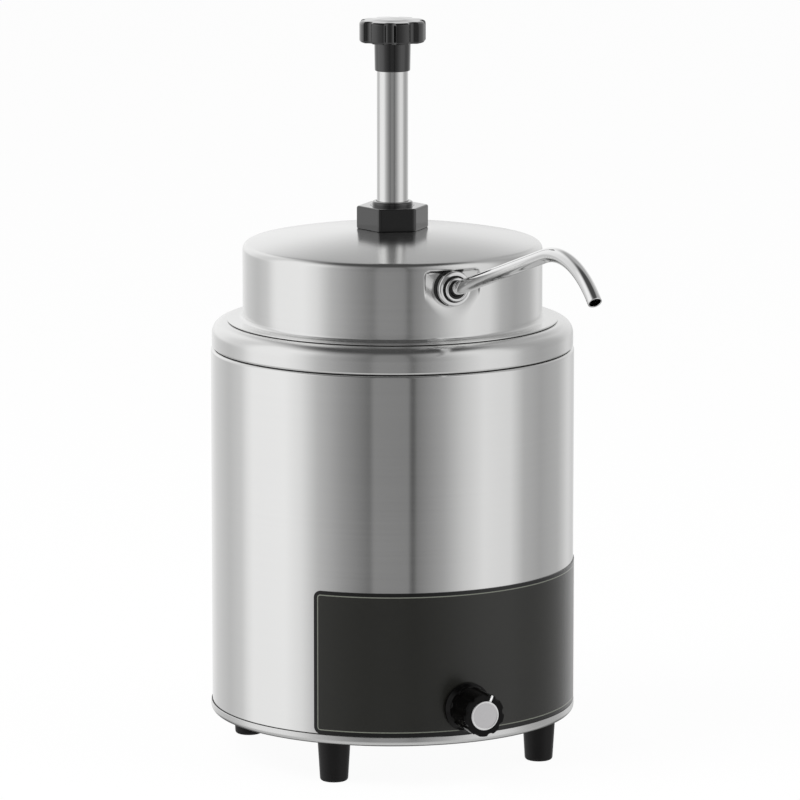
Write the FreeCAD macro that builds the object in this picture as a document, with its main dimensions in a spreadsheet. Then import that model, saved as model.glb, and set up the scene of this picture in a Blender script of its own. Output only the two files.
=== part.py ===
"""Round countertop topping warmer with a lift-off pump lid.

Millimetres, +Z up. The origin is on the axis of the round body, on the surface that the feet stand on.
The spout and the dial face -Y. Heights are stacked up from the feet, and the pump hangs from the lid.
"""

import FreeCAD, Part
import Sketcher
import math
import os
from types import SimpleNamespace

from FreeCAD import Placement, Rotation, Vector

os.makedirs("parts", exist_ok=True)
doc = FreeCAD.newDocument("topping_warmer")
sheet = doc.addObject("Spreadsheet::Sheet", "sheet")

# Driving dimensions

BODY_SIZES = {
    "can_radius": 78.5,
    "can_clearance": 5.5,
    "well_depth": 163.0,
    "well_wall": 1.0,
    "well_corner": 12.0,
    "mouth_bend": 2.0,
    "rim_step": 0.6,
    "rim_height": 15.2,
    "rim_shoulder": 9.5,
    "rim_hem": 7.0,
    "rim_hem_bend": 1.3,
    "gasket_thickness": 0.5,
    "gasket_width": 6.0,
    "jacket_space": 20.0,
    "base_space": 64.3,
    "jacket_wall": 0.8,
    "jacket_flange": 7.0,
    "jacket_bend": 1.6,
    "jacket_lap": 1.0,
    "pan_overhang": 0.75,
    "pan_wall": 0.7,
    "pan_depth": 5.5,
    "pan_corner": 4.5,
    "sleeve_thickness": 15.0,
    "sleeve_foot": 8.0,
    "sleeve_headroom": 9.3,
    "panel_thickness": 0.5,
    "panel_gap": 0.05,
    "panel_height": 83.0,
    "panel_lift": 0.4,
    "panel_left_angle": 48.5,
    "panel_right_angle": 75.0,
    "panel_corner": 3.0,
}
FOOT_SIZES = {
    "foot_height": 24.0,
    "foot_inset": 14.75,
    "foot_top_radius": 9.75,
    "foot_top_band": 1.6,
    "foot_neck_radius": 9.35,
    "foot_toe_radius": 8.0,
    "foot_toe_round": 2.6,
    "foot_well_radius": 4.6,
    "foot_well_depth": 9.0,
    "foot_screw_radius": 2.0,
    "foot_screw_head_radius": 4.0,
    "foot_screw_head": 2.6,
    "screw_clearance": 0.15,
    "foot_nut_across": 7.0,
    "foot_nut_height": 3.2,
    "thread_end": 1.5,
    "bracket_width": 16.0,
    "bracket_foot": 15.0,
    "bracket_height": 22.0,
    "bracket_wall": 1.5,
    "bracket_step": 4.0,
    "bracket_gap": 0.3,
    "bracket_rise": 5.0,
    "bracket_hole_inset": 9.9,
    "pan_screw_radius": 1.75,
    "pan_screw_head_radius": 3.4,
    "pan_screw_head": 2.2,
}
HEATER_SIZES = {
    "spreader_radius": 55.0,
    "spreader_thickness": 4.0,
    "element_circle": 42.0,
    "element_radius": 4.0,
    "element_gap": 0.1,
    "element_sweep": 320.0,
    "element_leg": 16.0,
    "element_pin_radius": 1.4,
    "element_pin": 9.0,
    "clamp_width": 18.0,
    "clamp_reach": 48.0,
    "clamp_thickness": 2.0,
    "stud_radius": 3.0,
    "stud_length": 24.0,
    "stud_nut_across": 10.0,
    "stud_nut_height": 5.0,
    "bulb_radius": 3.2,
    "bulb_length": 52.0,
    "bulb_inset": 22.0,
    "clip_width": 10.0,
    "clip_wall": 0.8,
    "clip_tab": 7.0,
    "capillary_radius": 1.0,
    "capillary_bend": 8.0,
    "cutout_radius": 8.0,
    "cutout_height": 7.0,
    "cutout_inset": 20.6,
    "cutout_strap_width": 8.0,
    "cutout_strap_length": 26.0,
    "cutout_strap_wall": 0.8,
}
CONTROL_SIZES = {
    "control_height": 21.7,
    "thermostat_width": 34.0,
    "thermostat_depth": 28.0,
    "thermostat_height": 33.0,
    "thermostat_corner": 2.0,
    "bushing_radius": 5.0,
    "bushing_length": 7.0,
    "mount_plate_gap": 3.4,
    "mount_plate_width": 52.0,
    "mount_plate_wall": 1.5,
    "mount_plate_rise": 15.0,
    "mount_plate_foot": 12.0,
    "mount_screw_radius": 2.0,
    "mount_screw_head_radius": 3.4,
    "mount_screw_head": 2.2,
    "mount_screw_pitch": 28.0,
    "mount_screw_length": 8.0,
    "shaft_radius": 3.0,
    "shaft_clearance": 0.05,
    "shaft_depth": 12.0,
    "jacket_shaft_hole": 6.0,
    "dial_gap": 0.6,
    "dial_reach": 24.5,
    "dial_skirt_radius": 14.0,
    "dial_skirt_edge": 1.6,
    "dial_skirt_height": 4.0,
    "dial_grip_radius": 12.3,
    "dial_flute_radius": 2.0,
    "dial_flute_sink": 1.0,
    "dial_face_round": 0.6,
    "dial_hollow_radius": 11.0,
    "dial_hollow_depth": 3.0,
    "cap_radius": 8.4,
    "cap_height": 1.3,
    "cap_recess": 0.5,
    "cap_round": 0.5,
    "pointer_width": 1.2,
    "pointer_length": 3.2,
    "pointer_height": 0.25,
    "pointer_angle": 23.0,
    "terminal_length": 34.0,
    "terminal_depth": 18.0,
    "terminal_height": 14.0,
    "terminal_across": 34.0,
    "terminal_back": 18.0,
    "terminal_screw_radius": 2.2,
    "terminal_screw_sink": 2.0,
    "terminal_screw_height": 2.6,
    "terminal_pitch": 9.5,
    "lead_radius": 1.5,
    "lead_bend": 5.0,
    "gland_radius": 8.0,
    "gland_flange_radius": 11.5,
    "gland_flange": 4.0,
    "gland_neck_radius": 7.0,
    "gland_neck": 5.0,
    "gland_bore": 3.6,
    "gland_length": 14.0,
    "gland_nut_across": 22.0,
    "gland_nut_height": 4.0,
}
LID_SIZES = {
    "lid_step": 2.5,
    "lid_wall": 0.9,
    "lid_height": 54.0,
    "lid_dome": 400.0,
    "lid_corner": 6.0,
    "lip_reach": 9.1,
    "lip_thickness": 1.2,
    "lip_fillet": 4.0,
    "skirt_gap": 0.8,
    "skirt_depth": 7.0,
    "collar_land": 24.0,
    "pocket_inset": 2.7,
    "pocket_width": 34.8,
    "pocket_top": 12.4,
    "pocket_height": 34.0,
    "pocket_corner": 4.0,
    "spout_drop": 23.7,
}
SPOUT_SIZES = {
    "spout_radius": 3.97,
    "spout_wall": 0.72,
    "spout_inner_end": 6.0,
    "spout_root": 5.4,
    "spout_root_bend": 14.0,
    "spout_rise_angle": 16.75,
    "spout_run": 159.9,
    "spout_bend": 65.5,
    "spout_drop_angle": 41.6,
    "spout_tip": 3.7,
    "fitting_gasket_radius": 10.4,
    "fitting_gasket": 0.8,
    "fitting_nut_radius": 10.0,
    "fitting_nut_height": 4.6,
    "fitting_nut_edge": 1.4,
    "fitting_groove_radius": 7.6,
    "fitting_groove_depth": 1.4,
    "fitting_ring_radius": 6.75,
    "fitting_ring_height": 2.4,
    "fitting_ring_edge": 0.6,
    "fitting_ring_bore": 5.2,
    "fitting_body_radius": 5.6,
    "fitting_body_length": 14.0,
    "fitting_lock_across": 17.0,
    "fitting_lock_height": 4.0,
    "fitting_clearance": 0.05,
    "riser_radius": 4.3,
    "riser_wall": 0.7,
    "riser_bend": 16.0,
    "riser_offset": 30.0,
    "riser_nut_across": 14.0,
    "riser_nut_height": 6.0,
}
PUMP_SIZES = {
    "collar_across": 36.5,
    "collar_height": 13.2,
    "collar_chamfer": 1.0,
    "collar_ring_radius": 11.7,
    "collar_ring_height": 2.5,
    "collar_ring_round": 0.8,
    "thread_clearance": 0.15,
    "head_neck_radius": 12.4,
    "head_neck_end": 2.5,
    "head_flange_radius": 20.0,
    "head_flange": 4.0,
    "head_socket_depth": 12.0,
    "head_socket_wall": 1.6,
    "slide_clearance": 0.3,
    "wiper_height": 1.6,
    "cylinder_bore": 12.7,
    "cylinder_wall": 1.4,
    "cylinder_length": 163.0,
    "socket_clearance": 0.05,
    "stroke": 58.5,
    "stop_gap": 0.4,
    "spring_seat_drop": 20.0,
    "spring_seat_height": 4.0,
    "spring_radius": 10.3,
    "spring_wire": 0.75,
    "spring_end_gap": 0.5,
    "spring_rest_gap": 0.1,
    "tube_radius": 9.0,
    "tube_wall": 1.0,
    "tube_shown": 75.4,
    "plunger_foot_radius": 12.2,
    "plunger_foot_height": 3.2,
    "plunger_spigot": 8.0,
    "rod_radius": 4.0,
    "piston_radius": 12.3,
    "piston_height": 12.0,
    "piston_gap": 6.0,
    "seal_radius": 12.65,
    "seal_height": 4.0,
    "seal_depth": 2.4,
    "rod_nut_across": 12.0,
    "rod_nut_height": 5.0,
    "hub_radius": 10.5,
    "hub_height": 16.6,
    "hub_round": 2.2,
    "hub_socket_depth": 11.0,
    "knob_radius": 19.15,
    "knob_height": 13.0,
    "knob_crown": 1.6,
    "knob_edge": 2.0,
    "knob_scallop_radius": 3.6,
    "knob_scallop_depth": 2.2,
}
VALVE_SIZES = {
    "valve_radius": 17.5,
    "valve_round": 3.0,
    "valve_socket_depth": 8.0,
    "valve_gasket": 1.0,
    "valve_throat_radius": 9.0,
    "valve_throat_height": 17.0,
    "ball_radius": 5.0,
    "ball_lift": 3.0,
    "ball_clearance": 1.2,
    "ball_seat_radius": 4.0,
    "suction_port": 5.0,
    "cage_height": 13.4,
    "pin_radius": 1.0,
    "pin_length": 15.4,
    "pin_gap": 0.4,
    "boss_radius": 9.5,
    "web_width": 15.0,
    "web_base": 4.0,
    "web_height": 26.0,
    "passage_radius": 3.4,
    "passage_step": 1.0,
    "discharge_seat": 6.0,
    "discharge_cage": 14.0,
    "riser_socket": 8.0,
    "intake_slot_width": 7.0,
    "intake_slot_height": 3.0,
}
SIZES = {
    **BODY_SIZES,
    **FOOT_SIZES,
    **HEATER_SIZES,
    **CONTROL_SIZES,
    **LID_SIZES,
    **SPOUT_SIZES,
    **PUMP_SIZES,
    **VALVE_SIZES,
}

# Counts and directions, which no length scales
FEET = 4
FIRST_BRACKET_ANGLE = 66.5
PAN_BRACKETS = 3
DIAL_FLUTES = 9
KNOB_LOBES = 8
TERMINALS = 3
SPRING_TURNS = 11
SPRING_END_TURNS = 1
STEPS_PER_TURN = 4
FIRST_FOOT_ANGLE = 45.0
COLLAR_ANGLE = -15.2
FIRST_SCALLOP_ANGLE = 17.0

# Shares of the sizes that they multiply
HALF_SHARE = 0.5
ROUND_SHARE = 0.25
BEND_ROOM_SHARE = 0.4
LEAD_RUN_SHARE = 2.2
CAPILLARY_RUN_SHARE = 2.5
CAPILLARY_SIDE_SHARE = 1.5
CAPILLARY_ENTRY_SHARE = 0.2
NECK_ROUND_SHARE = 0.3
DIAL_SOCKET_SHARE = 0.6
BUSHING_SOCKET_SHARE = 0.4
COLLAR_CHAMFER_SHARE = 0.6
HUB_LIP_SHARE = 0.9
KNOB_UNDERSIDE_SHARE = 0.75
VALVE_TOP_ROUND_SHARE = 0.5

OUTWARD = Rotation(Vector(1, 0, 0), 90)
BACKWARD = Rotation(Vector(1, 0, 0), -90)
ALONG_X = Rotation(Vector(0, 1, 0), 90)

for row, (alias, value) in enumerate(SIZES.items(), 1):
    sheet.set(f"A{row}", alias)
    sheet.set(f"B{row}", str(value))
    sheet.setAlias(f"B{row}", alias)
doc.recompute()


class Size:
    """A length with the expression that gives it, so that sums of sizes stay bound to the sheet."""

    def __init__(self, value, text):
        self.value = float(value)
        self.text = text

    @staticmethod
    def of(thing):
        return thing if isinstance(thing, Size) else Size(thing, repr(float(thing)))

    def __add__(self, other):
        other = Size.of(other)
        return Size(self.value + other.value, f"({self.text} + {other.text})")

    def __sub__(self, other):
        other = Size.of(other)
        return Size(self.value - other.value, f"({self.text} - {other.text})")

    def __mul__(self, other):
        other = Size.of(other)
        return Size(self.value * other.value, f"({self.text} * {other.text})")

    def __truediv__(self, other):
        other = Size.of(other)
        return Size(self.value / other.value, f"({self.text} / {other.text})")

    def __neg__(self):
        return Size(-self.value, f"(-1 * {self.text})")

    def root(self):
        return Size(math.sqrt(self.value), f"sqrt({self.text})")


d = SimpleNamespace(**{alias: Size(value, f"sheet.{alias}") for alias, value in SIZES.items()})
ZERO = Size(0, "0")

# Heights worked out from the feet up

z = SimpleNamespace()
z.pan_bottom = d.foot_height
z.pan_floor = z.pan_bottom + d.pan_wall
z.pan_top = z.pan_bottom + d.pan_depth
z.jacket_bottom = z.pan_top - d.jacket_lap
z.well_bottom = z.pan_floor + d.base_space
z.well_floor = z.well_bottom + d.well_wall
z.rim_top = z.well_floor + d.well_depth
z.rim_bottom = z.rim_top - d.rim_height
z.jacket_top = z.rim_bottom - d.gasket_thickness
z.spreader_bottom = z.well_bottom - d.spreader_thickness
z.element = z.spreader_bottom - d.element_gap - d.element_radius
z.clamp_top = z.element - d.element_radius - d.element_gap
z.control = z.pan_bottom + d.control_height
z.lip_top = z.rim_top + d.lip_thickness
z.crown = z.rim_top + d.lid_height
z.spout = z.crown - d.spout_drop

r = SimpleNamespace()
r.well = d.can_radius + d.can_clearance
r.well_outside = r.well + d.well_wall
r.jacket = r.well_outside + d.jacket_space
r.rim = r.jacket - d.rim_step
r.pan = r.jacket + d.pan_overhang
r.foot_circle = r.pan - d.foot_inset
r.jacket_inside = r.jacket - d.jacket_wall
r.bracket_back = r.jacket_inside - d.bracket_gap
r.bracket_circle = r.bracket_back - d.bracket_hole_inset
r.skirt = r.well - d.skirt_gap
r.bulb = r.well - d.bulb_inset
r.cutout = r.well - d.cutout_inset
r.lid = r.well + d.lid_step
r.lip = r.lid + d.lip_reach
r.lid_inside = r.lid - d.lid_wall
r.pocket = r.lid - d.pocket_inset
r.pocket_inside = r.pocket - d.lid_wall

dome = SimpleNamespace()
dome.centre = z.crown - d.lid_dome
dome.reach = d.lid_dome - d.lid_corner
dome.corner_radius = r.lid - d.lid_corner
dome.corner_centre = dome.centre + (dome.reach * dome.reach - dome.corner_radius * dome.corner_radius).root()
dome.outer_share = d.lid_dome / dome.reach
dome.inner = d.lid_dome - d.lid_wall
dome.inner_corner = d.lid_corner - d.lid_wall
dome.inner_share = dome.inner / dome.reach
z.land = dome.centre + (d.lid_dome * d.lid_dome - d.collar_land * d.collar_land).root()
z.land_inside = dome.centre + (dome.inner * dome.inner - d.collar_land * d.collar_land).root()
z.collar_top = z.land + d.collar_height
z.ring_top = z.collar_top + d.collar_ring_height
z.hub_bottom = z.ring_top + d.tube_shown
z.knob_bottom = z.hub_bottom + d.hub_height
z.head_bottom = z.land_inside - d.head_flange - d.head_socket_depth
z.cylinder_top = z.land_inside - d.head_flange
z.cylinder_bottom = z.cylinder_top - d.cylinder_length
z.foot_top = z.cylinder_top - d.stop_gap
z.foot_bottom = z.foot_top - d.plunger_foot_height
z.seat_top = z.foot_bottom - d.stroke - d.spring_seat_drop
z.seat_bottom = z.seat_top - d.spring_seat_height
z.piston_top = z.seat_bottom - d.piston_gap
z.piston_bottom = z.piston_top - d.piston_height
z.valve_top = z.cylinder_bottom + d.valve_socket_depth
z.throat_bottom = z.cylinder_bottom - d.valve_gasket - d.valve_throat_height
z.suction_seat = z.throat_bottom - d.cage_height
z.intake = z.suction_seat - d.suction_port
seat_rise = (d.ball_radius * d.ball_radius - d.ball_seat_radius * d.ball_seat_radius).root()
z.suction_ball = z.suction_seat + seat_rise
z.passage = z.throat_bottom + d.passage_step + d.passage_radius
z.discharge_seat = z.passage + d.discharge_seat
z.discharge_ball = z.discharge_seat + seat_rise
z.riser_bottom = z.discharge_seat + d.discharge_cage
z.boss_top = z.riser_bottom + d.riser_socket
cylinder_outside = d.cylinder_bore + d.cylinder_wall
socket_radius = cylinder_outside + d.socket_clearance


# Helpers


def bind(thing, **sizes):
    """Set each property to a size and bind it to the sheet."""
    for name, size in sizes.items():
        size = Size.of(size)
        setattr(thing, name, size.value)
        thing.setExpression(name, size.text)
    return thing


def place(thing, x=ZERO, y=ZERO, height=ZERO, turn=None):
    """Put a thing at three bound coordinates, turned by a rotation."""
    x, y, height = Size.of(x), Size.of(y), Size.of(height)
    thing.Placement = Placement(Vector(x.value, y.value, height.value), turn or Rotation())
    for axis, size in (("x", x), ("y", y), ("z", height)):
        thing.setExpression(f"Placement.Base.{axis}", size.text)
    return thing


def heading(start, end):
    """Axis direction from one corner to the next, as a pair of -1, 0 or 1."""
    across = end[0].value - start[0].value
    along = end[1].value - start[1].value
    if abs(across) > abs(along):
        return (1 if across > 0 else -1, 0)
    return (0, 1 if along > 0 else -1)


def rounded(corners):
    """Points of an outline from corners (x, y) or (x, y, radius), where sides at a radius are square."""
    corners = [tuple(Size.of(value) for value in corner) for corner in corners]
    points = []
    for index, corner in enumerate(corners):
        if len(corner) == 2:
            points.append((corner[0], corner[1], None))
            continue
        x, y, radius = corner
        came = heading(corners[index - 1], corner)
        goes = heading(corner, corners[(index + 1) % len(corners)])
        left = came[0] * goes[1] - came[1] * goes[0] > 0
        points.append((x - radius * came[0], y - radius * came[1], (radius, left)))
        points.append((x + radius * goes[0], y + radius * goes[1], None))
    return points


def arc_centre(start, end, radius, left):
    """Centre of the arc of under a half circle that turns left or right from start to end."""
    chord = end - start
    middle = (start + end) * HALF_SHARE
    rise = math.sqrt(max(radius * radius - chord.Length * chord.Length / 4, 0))
    side = Vector(-chord.y, chord.x, 0) / chord.Length
    return middle + side * (rise if left else -rise)


def draw(sketch, points):
    """Draw a closed outline of lines and arcs, with every point and radius bound to the sheet."""
    spots = [Vector(x.value, y.value, 0) for x, y, _ in points]
    ends = []
    for index, (_, _, arc) in enumerate(points):
        start, end = spots[index], spots[(index + 1) % len(spots)]
        if arc is None:
            sketch.addGeometry(Part.LineSegment(start, end), False)
            ends.append((1, 2))
            continue
        radius, left = arc
        centre = arc_centre(start, end, radius.value, left)
        first, last = (start, end) if left else (end, start)
        angles = [math.atan2(spot.y - centre.y, spot.x - centre.x) for spot in (first, last)]
        circle = Part.Circle(centre, Vector(0, 0, 1), radius.value)
        sketch.addGeometry(Part.ArcOfCircle(circle, angles[0], angles[1]), False)
        ends.append((1, 2) if left else (2, 1))
    for index in range(len(points)):
        after = (index + 1) % len(points)
        sketch.addConstraint(Sketcher.Constraint("Coincident", index, ends[index][1], after, ends[after][0]))
    for index, (x, y, arc) in enumerate(points):
        spot = ends[index][0]
        for kind, axis, size in (("DistanceX", -2, x), ("DistanceY", -1, y)):
            if size is ZERO or abs(size.value) < 1e-9:
                sketch.addConstraint(Sketcher.Constraint("PointOnObject", index, spot, axis))
                continue
            if size.value > 0:
                number = sketch.addConstraint(Sketcher.Constraint(kind, -1, 1, index, spot, size.value))
                sketch.setExpression(f"Constraints[{number}]", size.text)
            else:
                number = sketch.addConstraint(Sketcher.Constraint(kind, index, spot, -1, 1, -size.value))
                sketch.setExpression(f"Constraints[{number}]", (-size).text)
        if arc is not None:
            number = sketch.addConstraint(Sketcher.Constraint("Radius", index, arc[0].value))
            sketch.setExpression(f"Constraints[{number}]", arc[0].text)
    return sketch


def new_sketch(body, role, name):
    """An empty sketch on one of the body's own origin planes."""
    sketch = body.newObject("Sketcher::SketchObject", name)
    plane = next(feature for feature in body.Origin.OriginFeatures if feature.Role == role)
    sketch.AttachmentSupport = [(plane, "")]
    sketch.MapMode = "FlatFace"
    return sketch


def turned(label, points, sweep=None):
    """A body turned about its own Z axis from an outline of (radius, height) points."""
    body = doc.addObject("PartDesign::Body", label)
    sketch = draw(new_sketch(body, "XZ_Plane", f"{label}_outline"), points)
    turn = body.newObject("PartDesign::Revolution", f"{label}_turn")
    turn.Profile = sketch
    turn.ReferenceAxis = (sketch, ["V_Axis"])
    turn.Angle = 360
    if sweep is not None:
        turn.Angle = sweep.value
        turn.setExpression("Angle", sweep.text)
    return body


def extruded(label, points, height, role="XY_Plane"):
    """A body padded from an outline on one of its origin planes."""
    body = doc.addObject("PartDesign::Body", label)
    pad = body.newObject("PartDesign::Pad", f"{label}_pad")
    pad.Profile = draw(new_sketch(body, role, f"{label}_outline"), points)
    bind(pad, Length=height)
    return body


def disc(label, radius, height, x=ZERO, y=ZERO, base=ZERO, turn=None):
    """A plain cylinder that stands on its base."""
    solid = bind(doc.addObject("Part::Cylinder", label), Radius=radius, Height=height)
    return place(solid, x, y, base, turn)


def block(label, length, width, height, x, y, base, turn=None):
    """A plain box with its middle over x, y."""
    solid = bind(doc.addObject("Part::Box", label), Length=length, Width=width, Height=height)
    return place(solid, Size.of(x) - Size.of(length) * HALF_SHARE, Size.of(y) - Size.of(width) * HALF_SHARE, base, turn)


def ball(label, radius, x, y, height):
    """A sphere about its centre."""
    return place(bind(doc.addObject("Part::Sphere", label), Radius=radius), x, y, height)


def joined(label, pieces):
    """One solid from pieces that overlap."""
    fused = doc.addObject("Part::MultiFuse", label)
    fused.Shapes = pieces
    return fused


def drilled(label, base, tools):
    """The base less its tools. Each tool has to take something away."""
    tool = tools[0] if len(tools) == 1 else joined(f"{label}_tools", tools)
    rest = doc.addObject("Part::Cut", label)
    rest.Base = base
    rest.Tool = tool
    cuts.append(rest)
    return rest


def common(label, first, second):
    """What two pieces share."""
    shared = doc.addObject("Part::Common", label)
    shared.Base = first
    shared.Tool = second
    return shared


def ring(label, inner, outer, height, base=ZERO, y=ZERO, turn=None):
    """A flat ring or a tube."""
    body = turned(label, rounded([(inner, ZERO), (outer, ZERO), (outer, height), (inner, height)]))
    return place(body, ZERO, y, base, turn)


def hexagon(label, across, height, bore, x=ZERO, y=ZERO, base=ZERO, turn=None):
    """A hexagonal nut with a bore."""
    flat_share = math.cos(math.radians(30))
    prism = bind(doc.addObject("Part::Prism", f"{label}_prism"), Height=height)
    prism.Polygon = 6
    bind(prism, Circumradius=across * HALF_SHARE / flat_share)
    hole = bind(doc.addObject("Part::Cylinder", f"{label}_hole"), Radius=bore, Height=height)
    nut = doc.addObject("Part::Cut", label)
    nut.Base = prism
    nut.Tool = hole
    return place(nut, x, y, base, turn)


def spots_on_circle(radius, count, first):
    """Bound places evenly round a circle, with their angles."""
    angles = [first + 360 * index / count for index in range(count)]
    return [(radius * math.cos(math.radians(a)), radius * math.sin(math.radians(a)), a) for a in angles]


def group(label, pieces):
    """Separate solids under one name."""
    together = doc.addObject("Part::Compound", label)
    together.Links = pieces
    return together


def path(points, bends):
    """Straight runs through the points, joined by tangent arcs of the given radii."""
    edges = []
    start = points[0]
    for corner, after, bend in zip(points[1:-1], points[2:], bends):
        came = (corner - start).normalize()
        goes = (after - corner).normalize()
        half = came.getAngle(goes) / 2
        reach = bend * math.tan(half)
        first, last = corner - came * reach, corner + goes * reach
        inward = (goes - came).normalize()
        centre = corner + inward * (bend / math.cos(half))
        edges.append(Part.LineSegment(start, first).toShape())
        edges.append(Part.Arc(first, centre - inward * bend, last).toShape())
        start = last
    edges.append(Part.LineSegment(start, points[-1]).toShape())
    return Part.Wire(edges)


def rod_along(wire, radius):
    """A round rod along a wire, checked against its section times its length."""
    start = wire.Edges[0]
    direction = start.tangentAt(start.FirstParameter)
    circle = Part.Wire(Part.Circle(start.valueAt(start.FirstParameter), direction, radius).toShape())
    rod = wire.makePipeShell([circle], True, False)
    expected = math.pi * radius * radius * wire.Length
    if abs(rod.Volume - expected) > 0.01 * expected:
        raise RuntimeError(f"a rod of radius {radius} holds {rod.Volume:.1f}, not {expected:.1f}")
    return rod


def shaped(label, shape):
    """A piece whose shape is worked out here from the sizes in the sheet."""
    piece = doc.addObject("Part::Feature", label)
    piece.Shape = shape
    return piece


cuts = []


# Round body


def make_vessel():
    """The spun well and its rolled rim, one sheet from the floor to the hem on the jacket."""
    outline = rounded([
        (ZERO, z.well_floor),
        (r.well, z.well_floor, d.well_corner),
        (r.well, z.rim_top, d.mouth_bend),
        (r.rim, z.rim_top, d.rim_shoulder),
        (r.rim, z.rim_bottom, d.rim_hem_bend),
        (r.rim - d.rim_hem, z.rim_bottom),
        (r.rim - d.rim_hem, z.rim_bottom + d.well_wall),
        (r.rim - d.well_wall, z.rim_bottom + d.well_wall, d.rim_hem_bend - d.well_wall),
        (r.rim - d.well_wall, z.rim_top - d.well_wall, d.rim_shoulder - d.well_wall),
        (r.well_outside, z.rim_top - d.well_wall, d.mouth_bend - d.well_wall),
        (r.well_outside, z.well_bottom, d.well_corner + d.well_wall),
        (ZERO, z.well_bottom),
    ])
    # The mouth bends outward, so its upper skin has the larger radius
    return turned("water_vessel", outline)


def make_jacket():
    """The outer shell with its turned-in top, the dial shaft's hole and the gland's hole."""
    outline = rounded([
        (r.jacket, z.jacket_bottom),
        (r.jacket, z.jacket_top, d.jacket_bend),
        (r.jacket - d.jacket_flange, z.jacket_top),
        (r.jacket - d.jacket_flange, z.jacket_top - d.jacket_wall),
        (r.jacket_inside, z.jacket_top - d.jacket_wall, d.jacket_bend - d.jacket_wall),
        (r.jacket_inside, z.jacket_bottom),
    ])
    shell = turned("jacket_shell", outline)
    shaft_hole = disc("jacket_shaft_hole_cut", d.jacket_shaft_hole, r.jacket, base=z.control, turn=OUTWARD)
    place(shaft_hole, ZERO, -d.jacket_shaft_hole, z.control, OUTWARD)
    gland_hole = disc("jacket_gland_hole_cut", d.gland_radius + d.fitting_clearance, r.jacket)
    place(gland_hole, ZERO, d.gland_radius, z.control, BACKWARD)
    return drilled("outer_jacket", shell, [shaft_hole, gland_hole])


def make_gasket():
    """The thin dark ring that the rim rests on."""
    outer = r.rim - d.rim_hem_bend
    return ring("rim_gasket", outer - d.gasket_width, outer, d.gasket_thickness, z.jacket_top)


def make_panel():
    """The thin label sheet bent round the lower front, with its corners rounded."""
    inner = r.jacket + d.panel_gap
    outer = inner + d.panel_thickness
    low = z.pan_top + d.panel_lift
    sweep = d.panel_left_angle + d.panel_right_angle
    points = rounded([(inner, low), (outer, low), (outer, low + d.panel_height), (inner, low + d.panel_height)])
    sheet_body = turned("panel_sheet", points, sweep)
    doc.recompute()
    turn = sheet_body.Tip
    corner_edges = []
    for number, edge in enumerate(turn.Shape.Edges, 1):
        is_radial = abs(edge.Length - d.panel_thickness.value) < d.panel_thickness.value / 10
        if is_radial:
            corner_edges.append(f"Edge{number}")
    fillet = sheet_body.newObject("PartDesign::Fillet", "panel_corners")
    fillet.Base = (turn, corner_edges)
    bind(fillet, Radius=d.panel_corner)
    place(sheet_body, turn=Rotation(Vector(0, 0, 1), -90 - SIZES["panel_left_angle"]))
    hole = place(disc("panel_hole", d.jacket_shaft_hole, r.jacket + d.panel_thickness), turn=OUTWARD)
    place(hole, ZERO, -d.jacket_shaft_hole, z.control, OUTWARD)
    return drilled("front_panel", sheet_body, [hole])


def make_pan():
    """The shallow tray under the jacket, with holes for its screws."""
    inner = r.pan - d.pan_wall
    outline = rounded([
        (ZERO, z.pan_bottom),
        (r.pan, z.pan_bottom, d.pan_corner),
        (r.pan, z.pan_top),
        (inner, z.pan_top),
        (inner, z.pan_floor, d.pan_corner - d.pan_wall),
        (ZERO, z.pan_floor),
    ])
    tray = turned("pan_tray", outline)
    holes = []
    depth = d.pan_wall * 3
    for index, (x, y, _) in enumerate(spots_on_circle(r.foot_circle, FEET, FIRST_FOOT_ANGLE)):
        radius = d.foot_screw_radius + d.screw_clearance
        holes.append(disc(f"pan_foot_hole_{index}", radius, depth, x, y, z.pan_bottom - d.pan_wall))
    for index, (x, y, _) in enumerate(spots_on_circle(r.bracket_circle, PAN_BRACKETS, FIRST_BRACKET_ANGLE)):
        radius = d.pan_screw_radius + d.screw_clearance
        holes.append(disc(f"pan_screw_hole_{index}", radius, depth, x, y, z.pan_bottom - d.pan_wall))
    return drilled("base_pan", tray, holes)


def make_feet():
    """Rubber feet with the screw, and the nut on the pan's floor, for each."""
    feet, screws, nuts = [], [], []
    inner = d.foot_screw_radius + d.screw_clearance
    outline = rounded([
        (d.foot_well_radius, ZERO),
        (d.foot_toe_radius, ZERO, d.foot_toe_round),
        (d.foot_neck_radius, d.foot_height - d.foot_top_band),
        (d.foot_top_radius, d.foot_height - d.foot_top_band),
        (d.foot_top_radius, d.foot_height),
        (inner, d.foot_height),
        (inner, d.foot_well_depth),
        (d.foot_well_radius, d.foot_well_depth),
    ])
    head_bottom = d.foot_well_depth - d.foot_screw_head
    thread_top = z.pan_floor + d.foot_nut_height + d.thread_end
    screw_outline = rounded([
        (ZERO, head_bottom),
        (d.foot_screw_head_radius, head_bottom),
        (d.foot_screw_head_radius, d.foot_well_depth),
        (d.foot_screw_radius, d.foot_well_depth),
        (d.foot_screw_radius, thread_top),
        (ZERO, thread_top),
    ])
    for index, (x, y, _) in enumerate(spots_on_circle(r.foot_circle, FEET, FIRST_FOOT_ANGLE)):
        feet.append(place(turned(f"foot_{index}", outline), x, y))
        screws.append(place(turned(f"foot_screw_{index}", screw_outline), x, y))
        bore = d.foot_screw_radius + d.socket_clearance
        nuts.append(hexagon(f"foot_nut_{index}", d.foot_nut_across, d.foot_nut_height, bore, x, y, z.pan_floor))
    group("rubber_feet", feet)
    group("foot_screws", screws)
    group("foot_nuts", nuts)


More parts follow.
